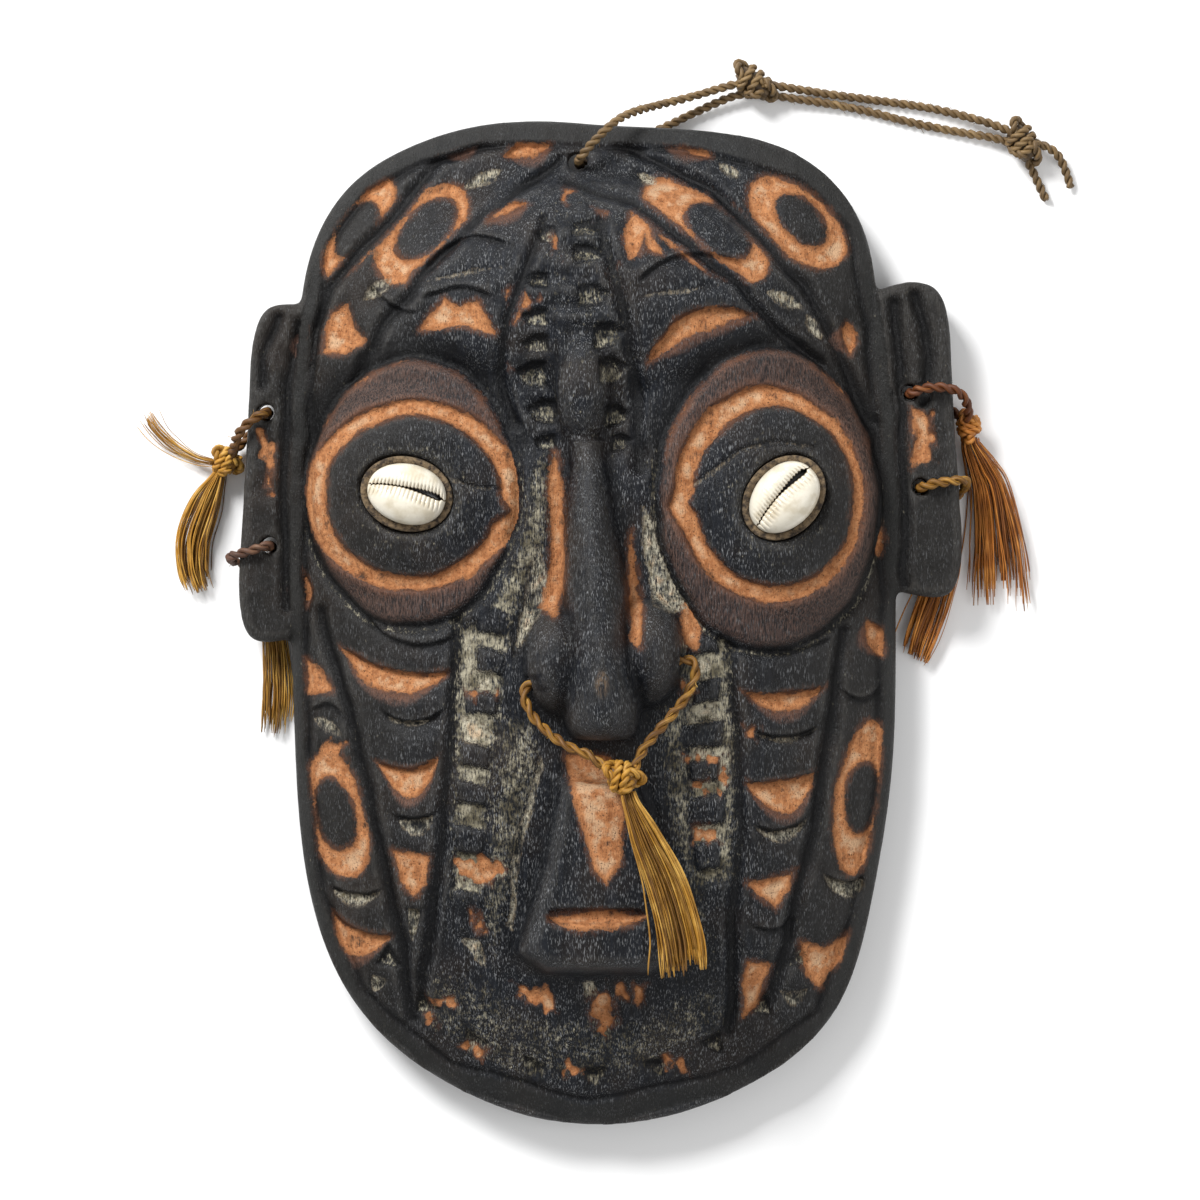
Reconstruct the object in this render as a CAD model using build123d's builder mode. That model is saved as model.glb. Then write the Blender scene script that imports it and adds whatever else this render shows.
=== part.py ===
"""Carved wooden wall mask with cowrie-shell eyes, a hanging cord, a nose cord and tasselled ear cords.

The mask lies on its back rim on z = 0 and looks up along +Z. +Y points to the forehead, +X to the
right ear as the mask is looked at. The origin is the middle of the wood's outline, on the back rim.
All sizes are in millimetres.
"""

import os
from math import cos, pi, radians, sin, tan

from build123d import *

# ---------------------------------------------------------------- driving dimensions
# Wood
head_width = 158.0  # widest part of the head, without the ears
head_length = 262.0  # forehead to chin
head_offset = -1.7  # the head stands this far to one side between the ears
ear_reach = 15.25  # from half the head's width out to the ears' edges
edge_height = 12.0  # front surface at the outline
crown_height = 33.0  # front surface at the middle, without the nose
rim_width = 6.0  # flat back rim that rests on the wall
hollow_depth = 21.0  # deepest point of the hollow back
hollow_straight = 0.35  # share of the hollow's depth where its walls stand straight up
below_wall = -1.0  # cuts from the back start this far below the wall plane
past_wood = 3.0  # ear holes are cut this far past the wood
ear_back = 5.2  # the ears' back faces stand off the wall by this
ear_thickness = 8.8
ear_round = 2.0  # rounding of the ears' front edge
ear_root = 22.0  # from the ear's outer edge to its root inside the head
ear_bottom = {-1: -4.7, 1: 7.0}
ear_top = {-1: 83.5, 1: 89.2}

# Forehead
forehead_inset = 49.0  # its middle from the top of the head
forehead_half = (60.0, 36.0, 26.0)
forehead_centre_z = 10.0
lozenge_place = (-4.5, 61.0, 31.0)
lozenge_half = (7.0, 15.5, 9.5)

# Eyes: swelling discs, leaning outwards
eye_place = {"left": (-47.6, 34.0), "right": (45.0, 30.0)}
eye_half = {"left": (30.0, 34.0), "right": (29.5, 37.5)}
eye_thickness = 13.0  # half thickness of the disc
eye_sink = 8.5  # the disc's middle lies this far below the vault
eye_lean = 11.0  # degrees outwards

# Shells and the putty that beds them
shell_length = 20.5
shell_width = 15.6
shell_height = 10.5
shell_place = {"left": (-49.8, 33.5), "right": (47.2, 32.5)}
shell_turn = {"left": -14.0, "right": 47.0}  # degrees, long axis from +X
shell_slit = 1.4
shell_slit_share = 0.86  # of the shell's length
shell_slit_depth = 2.6
shell_rise = 0.8  # the shell's middle stands this far above the eye's surface
putty_margin = 1.9  # putty showing round the shell
putty_depth = 6.4
putty_gap = 0.1  # between shell, putty and wood

# Nose: oval sections down the ridge as (y, x, half width, top above the wall)
nose_root = 24.0  # middle height of the sections
nose_sections = [
    (47.0, -3.4, 6.0, 38.0), (30.0, -2.7, 6.8, 44.0), (8.0, -1.4, 9.0, 49.5),
    (-12.0, 0.0, 10.5, 53.5), (-24.0, 0.5, 10.5, 53.5), (-29.5, 0.6, 7.5, 45.0),
]
wing_place = {"left": (-11.0, -9.0), "right": (12.6, -7.0)}
wing_half = (9.0, 14.5, 16.0)
wing_height = 30.0  # middle of the wings above the wall
nose_bore_radius = 2.0
nose_bore_height = 35.0
nose_bore_past = 6.0  # the bore is cut this far past each mouth
nose_bore_mouth = {"left": (-17.1, -15.0), "right": (21.6, -9.0)}

# Mouth block: a tapering wedge with the mouth's slit across it
mouth_corners = [
    (-13.5, -36.0), (-18.5, -62.0), (-25.0, -86.0), (-15.0, -93.0),
    (14.0, -93.0), (27.0, -87.0), (20.0, -62.0), (12.5, -36.0),
]
mouth_front = 41.0
mouth_levels = [(18.0, 0.5), (mouth_front - 1.6, 5.4), (mouth_front, 7.0)]  # height, drawn in by
mouth_slit = (-1.0, -74.6)
mouth_slit_length = 25.0
mouth_slit_width = 3.6
mouth_slit_depth = 2.6

# Hanging hole and the scoop in the back rim that the cord passes through
hang_hole_x = -5.9
hang_hole_inset = 10.6  # from the top edge
hang_hole_radius = 2.7
scoop_width = 74.0
scoop_depth = 4.4
scoop_x = 3.0
scoop_length = 18.0  # from outside the head inwards

# Cords
hang_cord_diameter = 2.3
ear_cord_diameter = 2.6
nose_cord_diameter = 2.6
cord_gap = 0.45  # a cord's surface to the wood beside it
hang_lift = 3.0  # the hanging cord's middle above the wood where it leaves its hole
ear_lift = 1.2  # more room where a cord turns over an ear
bend_share = 0.45  # of the shorter run beside a bend that its arc may take up
ear_hole_radius = 2.3
floor_gap = 0.15  # soft pieces lie this far above the wall plane
knot_height = 4.4  # middle of the hanging cord's knots above the wall
nose_knot_rise = 5.0  # middle of the nose knot above the mouth block

# Knots: length and thickness
hanging_knot_size = (15.0, 8.2)
loop_end_knot_size = (14.5, 8.2)
nose_knot_size = (12.0, 8.6)
left_ear_knot_size = (10.0, 8.0)
right_ear_knot_size = (10.0, 6.4)
hidden_knot_size = (8.0, 4.5)  # the knots behind the ears

# Ear holes: distance in from the ear's outer edge line, and place along the ear
ear_holes = {
    "left_upper": {"side": -1, "inset": 7.0, "y": 55.1},
    "left_lower": {"side": -1, "inset": 7.8, "y": 20.5},
    "right_upper": {"side": 1, "inset": 13.5, "y": 60.3},
    "right_lower": {"side": 1, "inset": 10.7, "y": 35.7},
}

half_width = head_width / 2
half_length = head_length / 2
ear_edge = half_width + ear_reach
ear_front = ear_back + ear_thickness
hang_hole_y = half_length - hang_hole_inset
VAULT_POWER = 1 / 2.6  # how fast the vault's outline shrinks as it rises
VAULT_RISES = (0.0, 0.15, 0.4, 0.65, 0.85, 0.96)  # its sections, as shares from edge to crown
PARTS = "parts"


# ---------------------------------------------------------------- outlines
def head_outline(share=1.0, inset=0.0):
    """Points round the head, as shares of its half sizes, scaled by share and drawn in by inset."""
    shares = [
        (-0.05, 1.0), (0.36, 0.985), (0.72, 0.920), (0.885, 0.800), (0.945, 0.600), (0.985, 0.400),
        (1.0, 0.05), (0.985, -0.31), (0.925, -0.54), (0.78, -0.79), (0.50, -0.925), (-0.02, -1.0),
        (-0.50, -0.912), (-0.80, -0.75), (-0.94, -0.54), (-0.99, -0.25), (-1.0, 0.08), (-0.98, 0.50),
        (-0.925, 0.762), (-0.79, 0.885), (-0.60, 0.955), (-0.38, 0.995),
    ]
    across, along = half_width * share - inset, half_length * share - inset
    return [(head_offset + u * across, v * along) for u, v in shares]


def vault(low, edge, crown, inset=0.0):
    """The head's outline, straight up from low to edge, then lofted to a shallow crown."""
    with BuildPart() as shape:
        with BuildSketch(Plane.XY.offset(low)):
            with BuildLine():
                Spline(*head_outline(inset=inset), periodic=True)
            make_face()
        extrude(amount=edge - low)
    with BuildPart() as crowned:
        for rise in VAULT_RISES:
            with BuildSketch(Plane.XY.offset(edge + rise * (crown - edge))):
                with BuildLine():
                    Spline(*head_outline((1 - rise) ** VAULT_POWER, inset), periodic=True)
                make_face()
        loft()
    return shape.part + crowned.part


def ear_outline(side):
    """Points along an ear's free edge, from its upper root to its lower root."""
    low, high = ear_bottom[side], ear_top[side]
    edge = [
        (ear_root, 0.97), (11.0, 1.0), (7.0, 0.983), (4.2, 0.925), (2.6, 0.77),
        (0.0, 0.23), (0.5, 0.075), (3.2, 0.01), (9.0, 0.0), (ear_root, 0.03),
    ]
    return [(side * (ear_edge - inset), low + s * (high - low)) for inset, s in edge]


def ellipsoid(centre, half, lean=0.0):
    """A scaled ball, leaning about Y; a plain object for use outside the builders."""
    ball = scale(Sphere(1, mode=Mode.PRIVATE), by=half, mode=Mode.PRIVATE)
    return Location(centre, (0, lean, 0)) * ball


def top_of(solid, x, y):
    """Height of a solid's upper surface at (x, y)."""
    return max(point.Z for point, _ in solid.find_intersection_points(Axis((x, y, -1), (0, 0, 1))))


# ---------------------------------------------------------------- soft pieces
def bend_radii(points):
    """One radius for each inner point, so that each arc takes its share of the shorter run beside it."""
    radii = []
    for before, here, after in zip(points, points[1:], points[2:]):
        back, ahead = Vector(*here) - Vector(*before), Vector(*after) - Vector(*here)
        turn = radians(back.get_angle(ahead))
        radii.append(bend_share * min(back.length, ahead.length) / tan(turn / 2))
    return radii


def cord_tube(name, points, diameter):
    """A plain tube along straight runs joined by tangent arcs."""
    radii = bend_radii(points)
    with BuildPart() as tube:
        with BuildLine() as path:
            FilletPolyline(*points, radius=radii)
        with BuildSketch(Plane(path.wire() @ 0, z_dir=path.wire() % 0)):
            Circle(diameter / 2)
        sweep(path=path.wire())
    length = path.wire().length
    share = tube.part.volume / (pi * diameter**2 / 4 * length)
    print(f"{name}: {length:.1f} long, volume share {share:.4f}, radii {[round(r, 1) for r in radii]}")
    keep(name, tube)


def knot(name, centre, size, turn):
    """A knot as a plain spheroid, its long axis turned from +X in the wall plane."""
    length, thickness = size
    direction = (cos(radians(turn)), sin(radians(turn)), 0)
    with BuildPart() as lump:
        with BuildSketch(Plane(centre, x_dir=direction, z_dir=(0, 0, 1))):
            Ellipse(length / 2, thickness / 2)
            Rectangle(2 * length, thickness, align=(Align.CENTER, Align.MAX), mode=Mode.SUBTRACT)
        revolve(axis=Axis(centre, direction))
    keep(name, lump)


def tassel(name, sections):
    """A bundle of fibre through oval sections: (x, y, z, half width, half thickness)."""
    places = [Vector(*s[:3]) for s in sections]
    with BuildPart() as bundle:
        for i, (x, y, z, half, thick) in enumerate(sections):
            run = places[min(i + 1, len(places) - 1)] - places[max(i - 1, 0)]
            across = Vector(0, 0, 1).cross(run).normalized()
            with BuildSketch(Plane((x, y, z), x_dir=across, z_dir=run)):
                Ellipse(half, thick)
        loft()
    keep(name, bundle)


def keep(name, piece):
    """Labels a finished piece and writes its STEP file."""
    piece.part.label = name
    export_step(piece.part, f"{PARTS}/{name}.step")


os.makedirs(PARTS, exist_ok=True)

# ---------------------------------------------------------------- wood
hollow = vault(below_wall, hollow_straight * hollow_depth, hollow_depth, rim_width)
plain_head = vault(0.0, edge_height, crown_height)

with BuildPart() as ridge:
    for y, x, half, top in nose_sections:
        with BuildSketch(Plane((x, y, nose_root), x_dir=(1, 0, 0), z_dir=(0, 1, 0))):
            Ellipse(half, top - nose_root)
    loft()

eye_discs = []
for name, sign in (("left", -1), ("right", 1)):
    x, y = eye_place[name]
    middle = top_of(plain_head, x, y) - eye_sink
    eye_discs.append(ellipsoid((x, y, middle), (*eye_half[name], eye_thickness), sign * eye_lean))

with BuildPart() as mouth_block:
    for height, inset in mouth_levels:
        with BuildSketch(Plane.XY.offset(height)):
            with BuildLine():
                Polyline(*mouth_corners, close=True)
            make_face()
            offset(amount=-inset, kind=Kind.INTERSECTION)
    loft(ruled=True)

ears = []
for side in (-1, 1):
    edge = ear_outline(side)
    with BuildPart() as ear:
        with BuildSketch(Plane.XY.offset(ear_back)):
            with BuildLine():
                Spline(*edge)
                Line(edge[0], edge[-1])
            make_face()
        extrude(amount=ear_thickness)
        rims = [e for f in ear.faces().filter_by(Axis.Z) for e in f.edges() if e.geom_type != GeomType.LINE]
        fillet(rims, radius=ear_round)
    ears.append(ear.part)

with BuildPart() as mask_body:
    add(plain_head)
    add(ellipsoid((head_offset, half_length - forehead_inset, forehead_centre_z), forehead_half))
    add(eye_discs)
    add(ellipsoid(lozenge_place, lozenge_half))
    add(ridge.part)
    for x, y in wing_place.values():
        add(ellipsoid((x, y, wing_height), wing_half))
    add(mouth_block.part)
    add(ears)
    split(bisect_by=Plane.XY, keep=Keep.TOP)
    add(hollow, mode=Mode.SUBTRACT)
    # mouth slit
    with BuildSketch(Plane.XY.offset(mouth_front - mouth_slit_depth)):
        with Locations(mouth_slit):
            SlotOverall(mouth_slit_length, mouth_slit_width)
    extrude(amount=2 * mouth_slit_depth, mode=Mode.SUBTRACT)
    # hanging hole
    with BuildSketch(Plane.XY):
        with Locations((hang_hole_x, hang_hole_y)):
            Circle(hang_hole_radius)
    extrude(amount=crown_height, mode=Mode.SUBTRACT)
    # scoop for the cord in the back rim
    with BuildSketch(Plane.XZ.offset(-(half_length + rim_width))):
        with Locations((scoop_x, 0)):
            SlotOverall(scoop_width, 2 * scoop_depth)
    extrude(amount=scoop_length, mode=Mode.SUBTRACT)
    # ear holes
    for hole in ear_holes.values():
        with BuildSketch(Plane.XY):
            with Locations((hole["side"] * (ear_edge - hole["inset"]), hole["y"])):
                Circle(ear_hole_radius)
        extrude(amount=ear_front + past_wood, mode=Mode.SUBTRACT)
    # nose bore
    left, right = (Vector(*nose_bore_mouth[s], nose_bore_height) for s in ("left", "right"))
    bore_axis = (right - left).normalized()
    with BuildSketch(Plane(left - bore_axis * nose_bore_past, z_dir=bore_axis)):
        Circle(nose_bore_radius)
    extrude(amount=(right - left).length + 2 * nose_bore_past, mode=Mode.SUBTRACT)

# sockets for the shells, once the eyes' surfaces are there to measure
shell_middle = {name: top_of(mask_body.part, *shell_place[name]) + shell_rise for name in shell_place}
with BuildPart() as socketed:
    add(mask_body.part)
    for name, place in shell_place.items():
        with BuildSketch(Plane.XY.offset(shell_middle[name] - putty_depth)):
            with Locations(Location(place, shell_turn[name])):
                Ellipse(shell_length / 2 + putty_margin, shell_width / 2 + putty_margin)
        extrude(amount=2 * putty_depth, mode=Mode.SUBTRACT)
keep("mask_body", socketed)

# ---------------------------------------------------------------- shells and putty
for name, place in shell_place.items():
    middle = shell_middle[name]
    turned = Plane((*place, middle), x_dir=(cos(radians(shell_turn[name])), sin(radians(shell_turn[name])), 0))
    half = (shell_length / 2, shell_width / 2, shell_height / 2)
    with BuildPart() as shell:
        add(turned * ellipsoid((0, 0, 0), half))
        with BuildSketch(turned.offset(shell_height / 2 - shell_slit_depth)):
            SlotOverall(shell_slit_share * shell_length, shell_slit)
        extrude(amount=2 * shell_slit_depth, mode=Mode.SUBTRACT)
    keep(f"{name}_cowrie", shell)

    with BuildPart() as putty:
        with BuildSketch(turned.offset(putty_gap - putty_depth)):
            Ellipse(shell_length / 2 + putty_margin - putty_gap, shell_width / 2 + putty_margin - putty_gap)
        extrude(amount=putty_depth - shell_rise)
        add(turned * ellipsoid((0, 0, 0), tuple(h + putty_gap for h in half)), mode=Mode.SUBTRACT)
    keep(f"{name}_putty", putty)

# ---------------------------------------------------------------- hanging cord
# One cord, both ends tied: up out of the hanging hole and over the rim, and back through the scoop.
hang_floor = hang_cord_diameter / 2 + floor_gap
hang_top = top_of(plain_head, hang_hole_x, hang_hole_y - 2 * hang_hole_radius) + hang_lift
hanging_route = [
    (123.9, half_length - 16.0, hang_floor),
    (122.6, half_length - 11.2, hang_floor),
    (119.3, half_length - 6.0, 3.4),
    (112.0, half_length - 4.0, 4.6),
    (103.5, half_length + 0.6, 3.2),
    (86.0, half_length + 5.2, hang_floor),
    (66.0, half_length + 7.6, hang_floor),
    (50.5, half_length + 9.8, 2.6),
    (38.0, half_length + 11.6, 5.4),
    (27.0, half_length + 8.2, 4.8),
    (16.0, half_length + 5.0, 8.6),
    (6.0, half_length + 1.5, hang_top - 2.4),
    (-0.5, half_length - 4.5, hang_top + 0.6),
    (hang_hole_x, hang_hole_y, hang_top),
    (hang_hole_x + 0.4, hang_hole_y + 0.3, hang_top / 2),
    (hang_hole_x, hang_hole_y, hang_floor + 0.3),
    (4.5, half_length - 5.4, hang_floor),
    (16.0, half_length - 0.8, hang_floor),
    (26.0, half_length + 4.2, 1.8),
    (38.0, half_length + 9.2, 3.0),
    (50.5, half_length + 7.2, 2.4),
    (66.0, half_length + 5.1, hang_floor),
    (80.0, half_length + 1.4, hang_floor),
    (94.0, half_length - 1.6, hang_floor),
    (105.0, half_length - 3.2, 2.8),
    (110.6, half_length - 6.2, 3.4),
    (113.6, half_length - 11.2, 1.9),
    (115.6, half_length - 15.6, hang_floor),
    (117.4, half_length - 19.4, hang_floor),
]
cord_tube("hanging_cord", hanging_route, hang_cord_diameter)
knot("hanging_knot", (40.2, half_length + 11.0, knot_height), hanging_knot_size, -42)
knot("loop_end_knot", (110.9, half_length - 4.6, knot_height), loop_end_knot_size, -62)

# ---------------------------------------------------------------- nose cord
# From its knot up round the left wing, through the bore and back down round the right wing.
nose_rest = mouth_front + nose_knot_rise
nose_route = [
    (2.6, -37.6, nose_rest),
    (-2.0, -33.4, 45.2),
    (-8.0, -31.4, 43.2),
    (-13.4, -27.8, 40.0),
    (-18.4, -22.6, 37.0),
    (-20.4, -15.9, 35.2),
    (-14.0, -14.5, 35.0),
    (-3.2, -12.6, 35.2),
    (7.7, -11.4, 34.8),
    (18.5, -9.5, 35.0),
    (24.8, -8.9, 35.3),
    (24.0, -15.6, 36.4),
    (19.6, -21.8, 38.6),
    (14.6, -27.4, 41.4),
    (10.0, -32.6, 44.4),
    (8.4, -37.6, nose_rest),
]
cord_tube("nose_cord", nose_route, nose_cord_diameter)
knot("nose_knot", (5.7, -38.9, nose_rest), nose_knot_size, -20)
tassel("nose_tassel", [
    (7.9, -45.6, nose_rest, 2.0, 2.0),
    (11.6, -54.0, nose_rest - 0.4, 4.2, 2.6),
    (17.0, -66.0, nose_rest - 1.0, 5.6, 2.6),
    (20.6, -79.0, nose_rest - 1.6, 6.2, 2.4),
    (21.8, -89.5, nose_rest - 2.0, 6.2, 2.0),
])


# ---------------------------------------------------------------- ear cords
def beside_ear(side, places):
    """Turns each place's first number, its distance out from the ear's edge line, into x."""
    return [(side * (ear_edge + out), *rest) for out, *rest in places]


ear_floor = ear_back - ear_cord_diameter / 2 - cord_gap  # a cord close under the ear
ear_over = ear_front + ear_cord_diameter / 2 + ear_lift  # a cord's corner over the ear's front
ear_middle = ear_back + ear_thickness / 2

into = -ear_holes["left_upper"]["inset"]
y = ear_holes["left_upper"]["y"]
cord_tube("left_ear_upper_cord", beside_ear(-1, [
    (2.65, 43.6, 5.8),
    (1.35, 46.6, 11.4),
    (0.15, 49.8, ear_over - 0.7),
    (-3.35, 53.0, ear_over + 0.7),
    (into, y, ear_over),
    (into - 0.25, y + 0.3, ear_middle),
    (into, y, ear_floor - 0.5),
    (-3.05, 50.6, ear_floor - 0.3),
    (2.15, 45.2, ear_floor - 0.5),
    (5.25, 42.8, ear_floor - 0.2),
]), ear_cord_diameter)
knot("left_ear_upper_knot", *beside_ear(-1, [(4.15, 42.4, 4.4)]), left_ear_knot_size, -40)
tassel("left_ear_upper_tassel", beside_ear(-1, [
    (6.65, 37.4, 3.6, 2.0, 2.0),
    (9.35, 31.5, 3.0, 3.8, 2.4),
    (12.55, 22.5, 2.8, 4.2, 2.4),
    (12.75, 14.5, 2.5, 3.6, 2.1),
    (10.95, 8.3, 2.2, 2.4, 1.6),
]))
tassel("left_ear_wisp", beside_ear(-1, [
    (7.95, 41.6, 3.4, 1.3, 1.3),
    (12.35, 43.0, 2.4, 1.1, 1.1),
    (17.95, 46.4, 1.6, 1.0, 1.0),
    (22.95, 51.0, 1.4, 0.9, 0.9),
    (26.35, 56.6, 1.4, 0.8, 0.8),
]))

into = -ear_holes["left_lower"]["inset"]
y = ear_holes["left_lower"]["y"]
cord_tube("left_ear_lower_cord", beside_ear(-1, [
    (-8.35, 14.8, ear_floor - 1.0),
    (into, y, ear_floor - 0.7),
    (into - 0.25, y - 0.3, ear_middle),
    (into, y, ear_over),
    (-3.05, 19.0, ear_over + 0.4),
    (2.35, 17.6, ear_over - 1.0),
    (2.45, 16.9, ear_middle),
    (2.15, 16.2, ear_floor - 0.5),
    (-4.05, 14.5, ear_floor - 0.8),
]), ear_cord_diameter)
knot("left_ear_lower_knot", *beside_ear(-1, [(-6.25, 14.2, 2.6)]), hidden_knot_size, 0)
tassel("left_ear_lower_tassel", beside_ear(-1, [
    (-6.65, 9.6, 2.5, 1.9, 1.8),
    (-7.65, 2.0, 2.5, 2.6, 2.0),
    (-8.65, -8.0, 2.5, 3.4, 2.0),
    (-8.85, -19.0, 2.4, 4.0, 2.0),
    (-8.25, -30.0, 2.2, 3.6, 1.6),
]))

into = -ear_holes["right_upper"]["inset"]
y = ear_holes["right_upper"]["y"]
cord_tube("right_ear_upper_cord", beside_ear(1, [
    (2.15, 53.4, 8.2),
    (1.95, 57.6, 12.4),
    (-1.25, 60.9, ear_over + 0.3),
    (-7.25, 61.9, ear_over + 0.6),
    (into, y, ear_over),
    (into + 0.25, y - 0.3, ear_middle),
    (into, y, ear_floor - 0.5),
    (-7.45, 59.2, ear_floor - 0.2),
    (-1.65, 56.6, ear_floor - 0.4),
    (1.95, 52.0, 4.3),
]), ear_cord_diameter)
knot("right_ear_upper_knot", *beside_ear(1, [(2.45, 51.8, 6.0)]), right_ear_knot_size, 96)
tassel("right_ear_upper_tassel", beside_ear(1, [
    (3.35, 46.2, 5.0, 2.2, 2.2),
    (6.15, 40.5, 3.4, 3.8, 2.6),
    (8.65, 34.0, 3.0, 4.8, 2.5),
    (10.75, 19.0, 2.7, 6.6, 2.3),
    (11.55, 3.0, 2.4, 7.6, 1.8),
]))

into = -ear_holes["right_lower"]["inset"]
y = ear_holes["right_lower"]["y"]
cord_tube("right_ear_lower_cord", beside_ear(1, [
    (-6.45, 31.7, ear_floor - 1.0),
    (into, y, ear_floor - 0.7),
    (into + 0.25, y - 0.3, ear_middle),
    (into, y, ear_over),
    (-5.75, 36.9, ear_over + 0.3),
    (1.05, 37.5, ear_over - 1.0),
    (1.55, 36.6, ear_middle),
    (1.05, 35.2, ear_floor - 0.5),
    (-2.55, 31.2, ear_floor - 0.8),
]), ear_cord_diameter)
knot("right_ear_lower_knot", *beside_ear(1, [(-4.45, 31.0, 2.6)]), hidden_knot_size, 0)
tassel("right_ear_lower_tassel", beside_ear(1, [
    (-4.05, 26.4, 2.5, 1.9, 1.8),
    (-2.85, 18.0, 2.5, 3.6, 2.0),
    (-5.65, 8.0, 2.5, 4.4, 2.0),
    (-9.45, -3.0, 2.4, 4.2, 1.9),
    (-12.05, -11.0, 2.2, 3.2, 1.5),
]))
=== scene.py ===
"""Carved and painted wooden mask on a pale floor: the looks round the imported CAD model.

The CAD's millimetres are kept for every shape below, and MM turns them into the frame's metres.
The mask lies on its back rim on z = 0: +Y is its forehead, +X the right side as it is looked at.
"""

import math

import bpy
import numpy as np
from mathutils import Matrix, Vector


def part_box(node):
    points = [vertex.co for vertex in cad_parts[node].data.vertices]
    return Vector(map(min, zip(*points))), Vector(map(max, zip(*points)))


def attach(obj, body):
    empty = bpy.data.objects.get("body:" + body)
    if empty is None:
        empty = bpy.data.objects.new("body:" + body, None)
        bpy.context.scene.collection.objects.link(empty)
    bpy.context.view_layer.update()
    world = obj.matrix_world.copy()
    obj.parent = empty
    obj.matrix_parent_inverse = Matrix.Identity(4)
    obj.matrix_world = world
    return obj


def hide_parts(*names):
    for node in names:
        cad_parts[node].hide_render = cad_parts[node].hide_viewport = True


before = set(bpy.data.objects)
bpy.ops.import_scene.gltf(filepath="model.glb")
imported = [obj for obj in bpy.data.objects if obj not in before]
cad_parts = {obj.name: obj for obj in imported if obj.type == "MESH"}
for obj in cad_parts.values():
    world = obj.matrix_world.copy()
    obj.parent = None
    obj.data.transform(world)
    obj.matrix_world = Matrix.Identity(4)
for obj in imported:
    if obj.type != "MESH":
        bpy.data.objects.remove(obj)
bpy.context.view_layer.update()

MM = 0.001
SEED = 7
rng = np.random.default_rng(SEED)


# ---------------------------------------------------------------- stage, lights and camera
def look_down_camera():
    """Straight down on the mask, its forehead at the top of the picture."""
    data = bpy.data.cameras.new("camera")
    camera = bpy.data.objects.new("camera", data)
    bpy.context.collection.objects.link(camera)
    view_width, distance, middle = 0.312, 1.25, (-0.0001, 0.0062, 0.018)
    camera.location = (middle[0], middle[1], middle[2] + distance)
    camera.rotation_euler = (0, 0, 0)
    data.sensor_width = 36
    data.lens = data.sensor_width * distance / view_width
    data.clip_start = 0.01
    bpy.context.scene.camera = camera


def area_light(name, place, size, power):
    """A soft square light at place, facing the middle of the stage."""
    data = bpy.data.lights.new(name, "AREA")
    data.size = size
    data.energy = power
    lamp = bpy.data.objects.new(name, data)
    bpy.context.collection.objects.link(lamp)
    lamp.location = place
    x, y, z = place
    lamp.rotation_euler = (math.atan2(math.hypot(x, y), z), 0, math.atan2(x, -y))


def studio():
    """A pale floor, a soft key from the top left, a weak fill and a pale surround."""
    half, drop, white = 3.0, 0.0002, (1, 1, 1, 1)
    mesh = bpy.data.meshes.new("floor")
    corners = [(-half, -half, 0), (half, -half, 0), (half, half, 0), (-half, half, 0)]
    mesh.from_pydata(corners, [], [(0, 1, 2, 3)])
    floor = bpy.data.objects.new("floor", mesh)
    bpy.context.collection.objects.link(floor)
    floor.location.z = -drop
    paper = bpy.data.materials.new("pale_floor")
    paper.use_nodes = True
    shader = paper.node_tree.nodes["Principled BSDF"]
    shader.inputs["Base Color"].default_value = (0.93, 0.93, 0.93, 1)
    shader.inputs["Roughness"].default_value = 0.9
    mesh.materials.append(paper)
    area_light("key", place=(-0.6, 0.85, 0.85), size=0.45, power=24)
    area_light("fill", place=(0.9, -0.3, 1.1), size=1.0, power=6)
    world = bpy.data.worlds.new("surround")
    world.use_nodes = True
    background = world.node_tree.nodes["Background"]
    background.inputs["Color"].default_value = white
    background.inputs["Strength"].default_value = 0.5
    bpy.context.scene.world = world
    bpy.context.scene.view_settings.view_transform = "Standard"


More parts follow.
